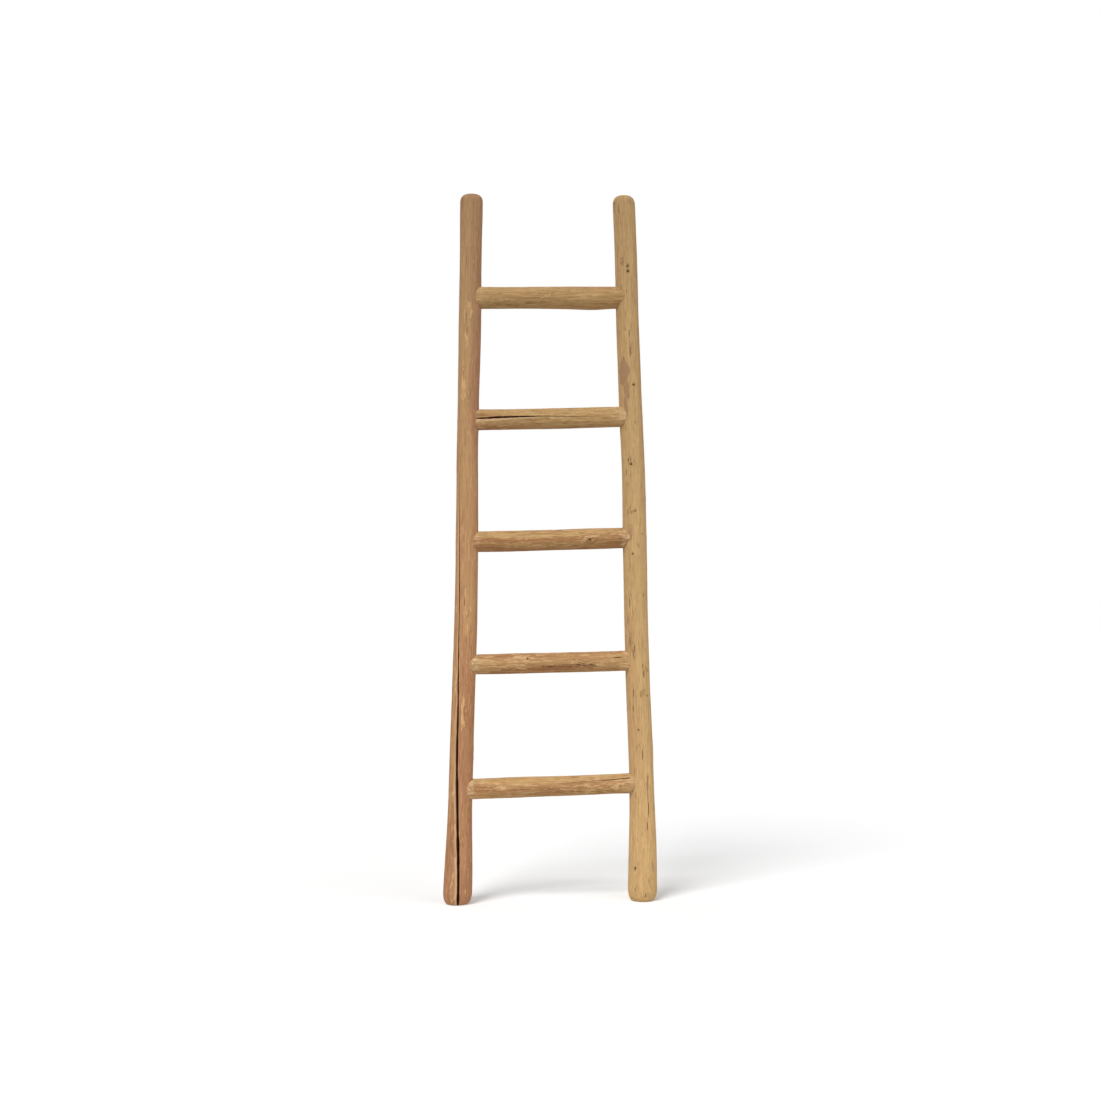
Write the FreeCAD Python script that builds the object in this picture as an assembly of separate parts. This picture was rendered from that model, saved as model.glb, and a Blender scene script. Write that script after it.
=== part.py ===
import FreeCAD, Part
import math
import os

# A rustic blanket ladder: two peeled side rails, five peeled rungs, and at each end of
# each rung a long wood screw that draws the coped rung end against the round rail. The
# screw goes in from the rail's outer side, and a wooden plug closes its counterbore.
#
# Frame: X to the right along the rungs, Y to the back, Z up along the ladder. The origin
# is on the floor, midway between the feet. Lengths are in millimetres.

Vector = FreeCAD.Vector

# --- The ladder ---------------------------------------------------------------------
LADDER_HEIGHT = 1750.0
FOOT_SPREAD = 457.0          # between the rails' axes at the floor
TOP_SPREAD = 382.0           # between the rails' axes at the top
TOP_SHIFT = 11.0             # the top's middle stands this far right of the feet's middle

# --- The rails ----------------------------------------------------------------------
LEFT_SHANK_RADIUS = 28.0
LEFT_FOOT_FLARE = 6.5        # the butt end of the pole is this much thicker all round
LEFT_TOP_ROUND = 11.0        # rounding of the top's edge
RIGHT_SHANK_RADIUS = 29.0
RIGHT_FOOT_FLARE = 7.5
RIGHT_TOP_ROUND = 14.0
FLARE_HEIGHT = 320.0         # the butt's flare has died away at this height
FOOT_ROUND = 8.0             # rounding of the foot's edge

# How each pole strays from a straight, even one, at every tenth of its length from the
# foot up: to the right, to the front, and in radius.
LEFT_CROOK = (2.5, 4.5, 5.0, 7.0, 8.5, 7.0, 4.0, 3.0, 3.5, 1.5, 0.0)
LEFT_BOW = (0.0, 1.0, 2.0, 3.0, 3.0, 2.0, 0.0, -1.0, -2.0, -1.0, 0.0)
LEFT_SWELL = (0.5, 0.0, 0.7, 0.0, 0.0, -0.3, -1.0, -1.3, 0.3, -0.5, 0.4)
RIGHT_CROOK = (0.0, 4.5, 5.0, 3.0, 3.0, 4.5, 5.0, 2.5, 1.0, 1.5, 0.0)
RIGHT_BOW = (0.0, -1.0, -2.0, -1.0, 0.0, 2.0, 3.0, 2.0, 1.0, 1.0, 0.0)
RIGHT_SWELL = (0.0, 0.5, 1.3, 0.8, 0.2, 0.4, -0.3, -0.3, 0.0, -0.2, -1.2)
RAIL_SECTIONS = 21           # circles that each rail is lofted through

# --- The rungs, from the lowest up ----------------------------------------------------
LOWEST_RUNG_HEIGHT = 281.0
RUNG_PITCH = 303.0
RUNG_RADII = (24.8, 24.8, 25.3, 25.2, 26.7)
LEFT_ENDS_FORWARD = (1.5, 1.0, -1.5, -3.0, -1.5)     # of the left rail's axis
RIGHT_ENDS_FORWARD = (0.0, -1.5, 0.5, 1.5, 0.5)      # of the right rail's axis
RUNG_RISES = (9.0, 5.5, 9.0, 6.5, 1.5)   # right end above left end
RUNG_SWELLS = (              # change of radius at each quarter of the rung's length
    (-0.8, 0.3, 0.0, 0.0, -0.2),
    (-0.4, 0.1, -0.2, 0.3, 0.1),
    (0.0, 0.0, 0.2, 0.7, -0.5),
    (0.4, -0.1, 0.1, -0.1, -0.3),
    (0.0, -0.5, 0.3, 0.8, 0.3),
)
RUNG_SECTIONS = 9            # circles that each rung is lofted through

# --- The drying splits ----------------------------------------------------------------
# A split is a wedge that runs along the pole and narrows away from its wide end. It
# winds about the pole as the grain does: its angles, in degrees from the front, are at
# even steps from the wide end to where it dies out.
RAIL_SPLIT_LENGTH = 1040.0   # up the left rail from its foot
RAIL_SPLIT_WIDTH = 7.0
RAIL_SPLIT_DEPTH = 20.0
RAIL_SPLIT_ANGLES = (6.0, -8.0, -25.0, -34.0, -39.0)     # towards the rungs
FOURTH_RUNG = 3                          # counted from 0 for the lowest
FOURTH_RUNG_SPLIT_LENGTH = 200.0         # from the left rail
FOURTH_RUNG_SPLIT_WIDTH = 3.6
FOURTH_RUNG_SPLIT_DEPTH = 9.0
FOURTH_RUNG_SPLIT_ANGLES = (0.0, 6.0, 2.0)               # upwards
LOWEST_RUNG = 0
LOWEST_RUNG_SPLIT_LENGTH = 130.0         # from the right rail
LOWEST_RUNG_SPLIT_WIDTH = 2.4
LOWEST_RUNG_SPLIT_DEPTH = 6.0
LOWEST_RUNG_SPLIT_ANGLES = (41.0, 33.0, 28.0)            # upwards
SPLIT_SECTIONS = 9
SPLIT_END = 0.12             # share of a split's width and depth left where it dies out
SPLIT_OVERCUT = 3.0          # the wedge stands this far out of the wood it cuts

# --- The screws and plugs -------------------------------------------------------------
SCREW_LENGTH = 90.0
SCREW_RADIUS = 2.5           # crests of the thread
SCREW_CORE_RADIUS = 1.7      # roots of the thread, and the bare shank
SCREW_THREAD_LENGTH = 54.0
SCREW_THREAD_PITCH = 3.0
SCREW_TIP_LENGTH = 6.0
SCREW_HEAD_RADIUS = 4.8
SCREW_HEAD_HEIGHT = 3.2
DRIVE_SLOT_LENGTH = 5.0      # each arm of the cross in the head, tip to tip
DRIVE_SLOT_WIDTH = 1.1
DRIVE_SLOT_DEPTH = 1.8
SCREW_HOLE_CLEARANCE = 0.3   # round the screw where it passes through the rail
THREAD_CLEARANCE = 0.05      # round the crests in the rung's end grain
PLUG_RADIUS = 6.0
PLUG_DEPTH = 14.0            # from the rail's outer side to the screw's head
PLUG_CLEARANCE = 0.05        # round the plug in its counterbore
PLUG_END_GAP = 0.3           # between the plug and the screw's head


def smooth_step(share):
    """0 before 0, 1 after 1, and a smooth rise in between."""
    share = min(max(share, 0.0), 1.0)
    return share * share * (3.0 - 2.0 * share)


def along(table, share):
    """The value at that share of a pole's length, on a smooth curve through the table."""
    place = min(max(share, 0.0), 1.0) * (len(table) - 1)
    first = min(int(place), len(table) - 2)
    t = place - first
    before = table[max(first - 1, 0)]
    start, end = table[first], table[first + 1]
    after = table[min(first + 2, len(table) - 1)]
    bend = 2 * before - 5 * start + 4 * end - after
    return start + t * (end - before + t * (bend + t * (3 * (start - end) + after - before))) / 2


def circle(centre, normal, radius):
    return Part.Wire([Part.makeCircle(radius, centre, normal)])


def cylinder(start, direction, radius, length):
    return Part.makeCylinder(radius, length, start, direction)


class Rail:
    """One side rail: a peeled pole with its butt end down."""

    def __init__(self, side, shank_radius, foot_flare, top_round, crook, bow, swell):
        self.foot_x = side * FOOT_SPREAD / 2
        self.top_x = TOP_SHIFT + side * TOP_SPREAD / 2
        self.shank_radius = shank_radius
        self.foot_flare = foot_flare
        self.top_round = top_round
        self.crook = crook
        self.bow = bow
        self.swell = swell

    def axis(self, height):
        """The middle of the pole at that height."""
        share = height / LADDER_HEIGHT
        x = self.foot_x + (self.top_x - self.foot_x) * share + along(self.crook, share)
        return Vector(x, -along(self.bow, share), height)

    def radius(self, height):
        flare = self.foot_flare * (1.0 - smooth_step(height / FLARE_HEIGHT))
        return self.shank_radius + flare + along(self.swell, height / LADDER_HEIGHT)

    def blank(self):
        """The whole pole with its edges rounded, before it is split and drilled."""
        heights = [LADDER_HEIGHT * i / (RAIL_SECTIONS - 1) for i in range(RAIL_SECTIONS)]
        rings = [circle(self.axis(z), Vector(0, 0, 1), self.radius(z)) for z in heights]
        pole = Part.makeLoft(rings, True, False)
        foot_edge = [e for e in pole.Edges if e.BoundBox.ZMax < FOOT_ROUND]
        pole = pole.makeFillet(FOOT_ROUND, foot_edge)
        top_start = LADDER_HEIGHT - self.top_round
        top_edge = [e for e in pole.Edges if e.BoundBox.ZMin > top_start]
        return pole.makeFillet(self.top_round, top_edge)


class Rung:
    """One rung, from the axis of the left rail to the axis of the right rail."""

    def __init__(self, number, rails):
        height = LOWEST_RUNG_HEIGHT + RUNG_PITCH * number
        half_rise = RUNG_RISES[number] / 2
        self.start = rails[0].axis(height - half_rise)
        self.start.y -= LEFT_ENDS_FORWARD[number]
        self.end = rails[1].axis(height + half_rise)
        self.end.y -= RIGHT_ENDS_FORWARD[number]
        self.length = (self.end - self.start).Length
        self.direction = (self.end - self.start).normalize()
        self.rail_radii = (rails[0].radius(height), rails[1].radius(height))
        self.number = number

    def axis(self, distance):
        return self.start + self.direction * distance

    def radius(self, distance):
        swell = along(RUNG_SWELLS[self.number], distance / self.length)
        return RUNG_RADII[self.number] + swell

    def blank(self):
        """The pole before its ends are coped."""
        places = [self.length * i / (RUNG_SECTIONS - 1) for i in range(RUNG_SECTIONS)]
        rings = [circle(self.axis(s), self.direction, self.radius(s)) for s in places]
        return Part.makeLoft(rings, True, False)

    def splits(self):
        """The drying splits of the lowest and the fourth rung. Each starts inside the
        rail, so that it runs right out of the coped end."""
        upward = Vector(0, 0, 1)
        if self.number == LOWEST_RUNG:
            rail_radius = self.rail_radii[1]
            start = self.length - rail_radius / 2
            end = self.length - rail_radius - LOWEST_RUNG_SPLIT_LENGTH
            return [split_wedge(self, upward, start, end, LOWEST_RUNG_SPLIT_WIDTH,
                                LOWEST_RUNG_SPLIT_DEPTH, LOWEST_RUNG_SPLIT_ANGLES)]
        if self.number == FOURTH_RUNG:
            rail_radius = self.rail_radii[0]
            end = rail_radius + FOURTH_RUNG_SPLIT_LENGTH
            return [split_wedge(self, upward, rail_radius / 2, end, FOURTH_RUNG_SPLIT_WIDTH,
                                FOURTH_RUNG_SPLIT_DEPTH, FOURTH_RUNG_SPLIT_ANGLES)]
        return []


def split_wedge(pole, across, start, end, width, depth, angles):
    """The wedge that a drying split takes out of a pole, from its wide end at start to
    where it dies out at end. The angles run from the front towards across."""
    front = Vector(0, -1, 0)
    sections = []
    for i in range(SPLIT_SECTIONS):
        share = i / (SPLIT_SECTIONS - 1)
        place = start + (end - start) * share
        fade = 1.0 - (1.0 - SPLIT_END) * smooth_step(share)
        turn = math.radians(along(angles, share))
        outward = front * math.cos(turn) + across * math.sin(turn)
        sideways = across * math.cos(turn) - front * math.sin(turn)
        surface = pole.axis(place) + outward * pole.radius(place)
        root = surface - outward * (depth * fade)
        mouth = surface + outward * SPLIT_OVERCUT
        half = width * fade / 2 * (depth * fade + SPLIT_OVERCUT) / (depth * fade)
        corners = [root, mouth + sideways * half, mouth - sideways * half, root]
        sections.append(Part.makePolygon(corners))
    return Part.makeLoft(sections, True, True)


def rail_split(rail):
    """The long split up the front of the left rail."""
    return split_wedge(rail, Vector(1, 0, 0), -SPLIT_OVERCUT, RAIL_SPLIT_LENGTH,
                       RAIL_SPLIT_WIDTH, RAIL_SPLIT_DEPTH, RAIL_SPLIT_ANGLES)


class Fixing:
    """The screw and plug at one end of a rung. Distances run from the rail's axis along
    the rung, so the screw's head is at a negative one."""

    def __init__(self, rung, rail_index):
        at_left = rail_index == 0
        self.middle = rung.start if at_left else rung.end
        self.inward = rung.direction if at_left else -rung.direction
        self.rail_radius = rung.rail_radii[rail_index]
        self.head_top = PLUG_DEPTH - self.rail_radius

    def point(self, distance):
        return self.middle + self.inward * distance

    def rail_hole(self):
        """Counterbore, countersink and clearance hole, right through the rail."""
        mouth = 2 * self.rail_radius
        bore_radius = PLUG_RADIUS + PLUG_CLEARANCE
        hole_radius = SCREW_RADIUS + SCREW_HOLE_CLEARANCE
        counterbore = cylinder(self.point(-mouth), self.inward, bore_radius,
                               mouth + self.head_top)
        seat = Part.makeCone(SCREW_HEAD_RADIUS + SCREW_HOLE_CLEARANCE, hole_radius,
                             SCREW_HEAD_HEIGHT, self.point(self.head_top), self.inward)
        passage = cylinder(self.point(self.head_top), self.inward, hole_radius,
                           mouth - self.head_top)
        return counterbore.fuse([seat, passage])

    def rung_hole(self):
        """The hole that the screw has cut for itself in the rung's end grain."""
        start = self.point(0.0)
        length = self.head_top + SCREW_LENGTH + THREAD_CLEARANCE
        return cylinder(start, self.inward, SCREW_RADIUS + THREAD_CLEARANCE, length)

    def screw(self):
        """A countersunk wood screw. Its thread is drawn as one ridge a turn."""
        profile = [(0.0, 0.0), (SCREW_HEAD_RADIUS, 0.0),
                   (SCREW_CORE_RADIUS, SCREW_HEAD_HEIGHT)]
        thread_start = SCREW_LENGTH - SCREW_TIP_LENGTH - SCREW_THREAD_LENGTH
        for turn in range(int(SCREW_THREAD_LENGTH / SCREW_THREAD_PITCH)):
            root = thread_start + turn * SCREW_THREAD_PITCH
            profile.append((SCREW_CORE_RADIUS, root))
            profile.append((SCREW_RADIUS, root + SCREW_THREAD_PITCH / 2))
        profile.append((SCREW_CORE_RADIUS, SCREW_LENGTH - SCREW_TIP_LENGTH))
        profile.append((0.0, SCREW_LENGTH))
        points = [Vector(r, 0, z) for r, z in profile]
        outline = Part.Face(Part.makePolygon(points + points[:1]))
        body = outline.revolve(Vector(0, 0, 0), Vector(0, 0, 1), 360)
        body = body.cut(self.drive_cross())
        body.Placement = FreeCAD.Placement(
            self.point(self.head_top), FreeCAD.Rotation(Vector(0, 0, 1), self.inward))
        return body

    def drive_cross(self):
        arms = []
        for length, width in ((DRIVE_SLOT_LENGTH, DRIVE_SLOT_WIDTH),
                              (DRIVE_SLOT_WIDTH, DRIVE_SLOT_LENGTH)):
            corner = Vector(-length / 2, -width / 2, 0)
            arms.append(Part.makeBox(length, width, DRIVE_SLOT_DEPTH, corner))
        return arms[0].fuse(arms[1])

    def plug(self, rail_blank):
        """The plug, trimmed flush with the outside of the rail."""
        mouth = 2 * self.rail_radius
        length = mouth + self.head_top - PLUG_END_GAP
        peg = cylinder(self.point(-mouth), self.inward, PLUG_RADIUS, length)
        return peg.common(rail_blank)


def save(name, shape):
    solids = shape.Solids
    shape = solids[0] if len(solids) == 1 else Part.makeCompound(solids)
    shape.exportStep("parts/" + name + ".step")


def main():
    os.makedirs("parts", exist_ok=True)
    sides = ("left", "right")
    rails = (
        Rail(-1, LEFT_SHANK_RADIUS, LEFT_FOOT_FLARE, LEFT_TOP_ROUND,
             LEFT_CROOK, LEFT_BOW, LEFT_SWELL),
        Rail(1, RIGHT_SHANK_RADIUS, RIGHT_FOOT_FLARE, RIGHT_TOP_ROUND,
             RIGHT_CROOK, RIGHT_BOW, RIGHT_SWELL),
    )
    blanks = [rail.blank() for rail in rails]
    rail_cuts = [[rail_split(rails[0])], []]

    for number in range(len(RUNG_RADII)):
        rung = Rung(number, rails)
        rung_cuts = blanks + rung.splits()
        for index, side in enumerate(sides):
            fixing = Fixing(rung, index)
            rail_cuts[index].append(fixing.rail_hole())
            rung_cuts.append(fixing.rung_hole())
            label = side + "_" + str(number + 1)
            save("screw_" + label, fixing.screw())
            save("plug_" + label, fixing.plug(blanks[index]))
        save("rung_" + str(number + 1), rung.blank().cut(rung_cuts))

    for side, blank, cuts in zip(sides, blanks, rail_cuts):
        save("rail_" + side, blank.cut(cuts))


main()
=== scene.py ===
# %% [markdown]
# # A rustic blanket ladder of peeled poles
#
# The real ladder is two side rails and five rungs, all young conifer stems. A maker peels
# them with a drawknife, lets them dry and saddle cuts the rung ends to sit round the rails.
# Its looks are the looks of a peeled stem: not quite round, long flats from the knife,
# flecks of inner bark, pin knots, beetle holes and splits from drying.
#
# The construction comes as a fixed frame. First it is loaded.

# %% Load the frame
import math

import bpy
import numpy as np
from mathutils import Matrix, Vector
from mathutils.bvhtree import BVHTree


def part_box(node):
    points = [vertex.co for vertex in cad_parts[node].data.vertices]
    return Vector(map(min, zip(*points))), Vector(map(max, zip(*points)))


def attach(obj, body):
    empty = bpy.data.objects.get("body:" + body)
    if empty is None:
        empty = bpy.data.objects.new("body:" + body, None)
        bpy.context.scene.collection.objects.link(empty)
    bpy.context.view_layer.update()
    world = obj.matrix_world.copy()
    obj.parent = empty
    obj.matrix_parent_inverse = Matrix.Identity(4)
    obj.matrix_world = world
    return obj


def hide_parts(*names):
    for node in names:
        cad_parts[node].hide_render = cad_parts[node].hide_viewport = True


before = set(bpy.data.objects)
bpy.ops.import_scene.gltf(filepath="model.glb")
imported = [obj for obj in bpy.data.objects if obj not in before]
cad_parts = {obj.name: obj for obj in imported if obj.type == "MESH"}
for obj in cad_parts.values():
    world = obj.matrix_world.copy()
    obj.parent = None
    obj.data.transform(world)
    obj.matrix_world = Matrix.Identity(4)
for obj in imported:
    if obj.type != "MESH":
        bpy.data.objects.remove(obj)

MM = 0.001
DEG = math.pi / 180
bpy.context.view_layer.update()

# %% [markdown]
# ## Measure the poles
#
# Each new skin has to lie where the plain pole is. The axis could be typed in again, but
# then it would drift from the frame as soon as a size changed. So rays are shot at each
# plain pole from all round, at stations along it, and a circle is fitted to what they hit.
# Hits in a split or a plug's hole lie off the circle, and the fit drops them.

# %% Fit a circle at stations along a pole
STATION_STEP = 25 * MM
RAYS_ROUND = 24
RAY_START = 90 * MM
FIT_ROUNDS = 4
FRONT = np.array((0.0, -1.0, 0.0))


def surface_of(piece):
    """A piece's surface, ready for ray tests."""
    mesh = piece.data
    return BVHTree.FromPolygons([v.co for v in mesh.vertices], [p.vertices for p in mesh.polygons])


def fit_circle(points):
    """The centre and radius of the circle on which most of the points lie."""
    keep = np.ones(len(points), bool)
    for _ in range(FIT_ROUNDS):
        x, y = points[keep].T
        table = np.column_stack([2 * x, 2 * y, np.ones(len(x))])
        cx, cy, rest = np.linalg.lstsq(table, x * x + y * y, rcond=None)[0]
        radius = math.sqrt(rest + cx * cx + cy * cy)
        off = np.abs(np.hypot(points[:, 0] - cx, points[:, 1] - cy) - radius)
        keep = off < max(2 * np.median(off), 0.1 * MM)
    return cx, cy, radius


def middle_between_hits(tree, start, axis):
    """Where the pole's middle is along one axis, from a ray at each side."""
    out = Vector([float(k == axis) for k in range(3)])
    low = tree.ray_cast(start - out * RAY_START * 2, out)[0]
    high = tree.ray_cast(start + out * RAY_START * 2, -out)[0]
    return (low[axis] + high[axis]) / 2


# %% [markdown]
# A pole is then a table of stations. A place on its skin is a height along it (x for a
# rung, z for a rail) and a turn from the front. Past its last station a pole runs on
# straight, as it does under the rounded ends.

# %% The pole and its skin's directions


def stretch(x, xs, ys):
    """Reads a table between its rows, and runs on straight past its ends."""
    first = (ys[1] - ys[0]) / (xs[1] - xs[0])
    last = (ys[-1] - ys[-2]) / (xs[-1] - xs[-2])
    inside = np.interp(x, xs, ys)
    return inside + np.minimum(x - xs[0], 0) * first + np.maximum(x - xs[-1], 0) * last


class Pole:
    """A pole measured on its CAD piece. axis is 2 for an upright pole and 0 for a rung."""

    def __init__(self, node, axis, side, margin):
        self.node, self.axis = node, axis
        self.side = np.array(side, float)
        self.low, self.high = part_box(node)
        tree = surface_of(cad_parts[node])
        first, last = self.low[axis] + margin, self.high[axis] - margin
        self.places = np.linspace(first, last, 2 + int((last - first) / STATION_STEP))
        cross = [k for k in (0, 1, 2) if k != axis]
        rows = [self.station(tree, place, cross) for place in self.places]
        self.centres = np.array([row[0] for row in rows])
        self.radii = np.array([row[1] for row in rows])

    def station(self, tree, place, cross):
        """The pole's centre and radius at one station."""
        centre = (self.low + self.high) / 2
        centre[self.axis] = place
        wide = cross[0] if self.axis == 2 else cross[1]
        centre[wide] = middle_between_hits(tree, centre, wide)
        centre[1] = middle_between_hits(tree, centre, 1)
        hits = []
        for turn in np.linspace(0, 2 * math.pi, RAYS_ROUND, endpoint=False):
            out = Vector(math.cos(turn) * FRONT + math.sin(turn) * self.side)
            hit = tree.ray_cast(centre + out * RAY_START, -out)[0]
            hits.append([hit[k] for k in cross])
        a, b, radius = fit_circle(np.array(hits))
        centre[cross[0]], centre[cross[1]] = a, b
        return list(centre), radius

    def centre(self, place):
        """The axis point at each place."""
        return np.stack([stretch(place, self.places, c) for c in self.centres.T], -1)

    def radius(self, place):
        """The plain radius at each place."""
        return stretch(place, self.places, self.radii)

    def out(self, turn):
        """The outward direction at each turn from the front."""
        return np.cos(turn)[..., None] * FRONT + np.sin(turn)[..., None] * self.side

    def point(self, place, turn, radius):
        """The point at each place, turn and distance from the axis."""
        return self.centre(place) + radius[..., None] * self.out(turn)


RAIL_MARGIN = 20 * MM
RUNG_MARGIN = 40 * MM
RAIL_NAMES = ("rail_left", "rail_right")
RUNG_NAMES = tuple(f"rung_{i}" for i in range(1, 6))
poles = {name: Pole(name, 2, (1, 0, 0), RAIL_MARGIN) for name in RAIL_NAMES}
poles.update({name: Pole(name, 0, (0, 0, 1), RUNG_MARGIN) for name in RUNG_NAMES})
for name, pole in poles.items():
    print(f"{name}: radius {pole.radii.min() / MM:.1f} to {pole.radii.max() / MM:.1f} mm")

# %% [markdown]
# ## What grew and what the knife left
#
# A stem's unevenness comes in sizes: it is a little oval over an arm's length, it swells
# every hand's width, the knife leaves flats a finger wide, and fibres stand up as fine
# ridges. Each size is one layer of smooth random values that join up round the pole. They
# could come from a texture and a Displace modifier, but a texture can't be made to close
# round a stem or to follow its twist, so the layers are worked out here.

# %% Smooth random values on a pole
TURN = 2 * math.pi


def spline_weights(f):
    """The four weights of a smooth curve through a row of random values."""
    return (
        (1 - f) ** 3 / 6,
        (3 * f**3 - 6 * f**2 + 4) / 6,
        (-3 * f**3 + 3 * f**2 + 3 * f + 1) / 6,
        f**3 / 6,
    )


def uneven(turn, along, cells_round, cell_length, seed):
    """Smooth random values, about -1 to 1, in cells round and along a pole."""
    across = turn / TURN * cells_round
    along = along / cell_length
    rng = np.random.default_rng(seed)
    table = rng.uniform(-1, 1, (int(along.max()) + 5, cells_round))
    iu, iv = np.floor(across).astype(int), np.floor(along).astype(int)
    total = np.zeros(np.broadcast(turn, along).shape)
    for dv, wv in enumerate(spline_weights(along - iv)):
        for du, wu in enumerate(spline_weights(across - iu)):
            total += table[iv + dv, (iu + du) % cells_round] * wv * wu
    return total * 2.2


def smooth_step(share):
    """0 below 0 and 1 above 1, with a soft start and end."""
    share = np.clip(share, 0, 1)
    return share * share * (3 - 2 * share)


def near(turn, middle):
    """How far a turn is from another, from minus half a turn to half a turn."""
    return (turn - middle + math.pi) % TURN - math.pi


# %% [markdown]
# Knots, holes, checks and stains aren't random: they are placed where this ladder has them, in
# millimetres along the pole and degrees from its front (towards the rungs' right on a rail,
# upwards on a rung). A knot is a low swelling with a sunk heart, and the fibres part round
# it. The rails have more of them, placed by a fixed seed, on the sides that no one photographed.

# %% Places of knots, beetle holes, drying checks and stains
KNOTS = {  # place, turn, size across the grain, height of the swelling
    "rail_left": ((533, -31, 6, 0.9), (1180, 100, 11, 1.2), (760, -150, 12, 1.4)),
    "rail_right": ((1577, -25, 6, 0.5), (1269, 15, 4, 0.3), (1090, 130, 12, 1.3)),
    "rung_1": ((-134, 24, 5, 0.5), (174, -10, 7, 0.6)),
    "rung_2": ((-50, 28, 4, 0.5), (60, 150, 9, 1.2)),
    "rung_3": ((106, -7, 8, 1.3), (-60, -140, 8, 1.0)),
    "rung_4": ((144, 26, 5, 0.5), (20, 120, 9, 1.2)),
    "rung_5": ((18, 13, 6, 0.7), (-100, -160, 9, 1.0)),
}
HIDDEN_KNOTS = {"rail_left": 5, "rail_right": 5}
HIDDEN_TURNS, HIDDEN_SIZES, HIDDEN_HEIGHTS = (80, 280), (7, 12), (0.7, 1.4)
HIDDEN_MARGIN = 0.1          # from the pole's ends
HOLES = {  # place, turn, radius of a beetle's hole
    "rail_left": ((1500, 160, 1.0), (690, 70, 0.9), (531, -27, 1.5)),
    "rail_right": (
        (1567, 1, 1.9), (1554, 1, 2.1), (1270, 14, 1.8), (1072, -16, 2.1), (956, -2, 1.4), (899, 31, 0.9),
        (850, -18, 1.4), (501, 41, 1.3), (418, -12, 1.4), (82, -37, 2.0), (1310, 140, 1.4),
        (640, 170, 1.2),
    ),
    "rung_1": ((-134, 24, 1.0),),
    "rung_2": ((-50, 28, 1.5), (-12, -18, 1.2), (-39, -24, 0.9)),
    "rung_3": ((106, -7, 1.7),),
    "rung_4": ((30, -120, 1.0),),
    "rung_5": ((-60, 150, 1.0),),
}
CHECKS = {  # place, turn, length, width of a drying check
    "rail_left": (
        (1440, -21, 22, 0.9), (1405, -14, 18, 0.8), (1300, -28, 15, 0.7), (735, -8, 24, 0.8),
        (703, 12, 18, 0.7), (1100, 150, 60, 1.2), (400, 120, 90, 1.6),
    ),
    "rail_right": (
        (1712, -38, 26, 1.3), (1398, 0, 22, 1.3), (1352, 3, 30, 1.2), (1082, -30, 11, 2.2),
        (1052, -43, 20, 1.6), (952, -18, 9, 1.6), (730, -37, 25, 1.4), (748, 33, 12, 1.8),
        (686, -49, 15, 1.4), (634, -40, 30, 1.4), (617, -17, 20, 1.4), (574, 21, 14, 1.9),
        (555, 25, 20, 2.1), (563, 51, 12, 1.7), (508, -29, 22, 1.4), (505, 7, 19, 1.4),
        (470, -34, 18, 1.6), (357, 3, 24, 1.6), (301, 27, 14, 1.4), (265, 22, 12, 1.4),
        (268, 23, 90, 1.2), (222, 24, 38, 1.9), (184, 16, 22, 1.7), (18, 6, 12, 1.4), (30, -36, 10, 1.3),
        (52, 20, 16, 1.3), (1450, 120, 70, 2.1), (900, -140, 110, 1.8), (330, 160, 60, 2.1),
    ),
    "rung_1": ((-20, -60, 40, 0.8),),
    "rung_2": (
        (6, -21, 24, 1.5), (31, -25, 20, 1.3), (54, -26, 16, 1.4), (74, -15, 15, 1.8), (90, -22, 12, 2.2),
        (106, -17, 14, 1.7), (171, 22, 20, 1.7),
    ),
    "rung_3": (
        (100, -11, 8, 1.2), (112, 0, 7, 1.1), (118, -14, 9, 0.9), (-30, 60, 50, 0.9), (60, -150, 60, 1.2),
    ),
    "rung_4": ((60, -70, 40, 0.8),),
    "rung_5": ((-70, -130, 60, 1.2),),
}
STAINS = {  # place, turn, half length, half width, strength
    "rail_left": ((1400, 60, 90, 10, 0.3),),
    "rail_right": (
        (1300, -33, 46, 13, 1.0), (1262, -24, 34, 8, 0.8), (1215, -31, 24, 6, 0.8), (1355, 4, 26, 4, 0.6),
        (906, -30, 26, 8, 0.6), (690, -48, 26, 5, 0.55), (634, -41, 30, 8, 0.62), (606, -17, 20, 4, 0.6),
        (955, -8, 6, 5, 0.6), (950, -36, 15, 3, 0.6), (1577, -25, 13, 5, 0.8), (560, 30, 14, 5, 0.5),
        (84, 40, 14, 6, 0.6),
    ),
    "rung_2": ((25, -22, 44, 4, 0.4), (90, -18, 28, 8, 0.42)),
}
SPOT_HALO = 2.1              # half width of the brown spot round a hole, in the hole's radii
HALO_STRENGTH = {"rail_right": 1.0, "rung_2": 0.5, "rung_3": 0.9}
OTHER_HALO = 0.3


def knots_on(pole):
    """Every knot on a pole: the placed ones, then seeded ones behind."""
    placed = [(p * MM, t * DEG, s * MM, h * MM) for p, t, s, h in KNOTS[pole.node]]
    rng = np.random.default_rng(len(pole.places))
    for _ in range(HIDDEN_KNOTS.get(pole.node, 0)):
        first, last = pole.low[pole.axis] + HIDDEN_MARGIN, pole.high[pole.axis] - HIDDEN_MARGIN
        place = rng.uniform(first, last)
        turn = rng.uniform(*HIDDEN_TURNS) * DEG
        size, height = rng.uniform(*HIDDEN_SIZES) * MM, rng.uniform(*HIDDEN_HEIGHTS) * MM
        placed.append((place, turn, size, height))
    return placed


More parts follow.
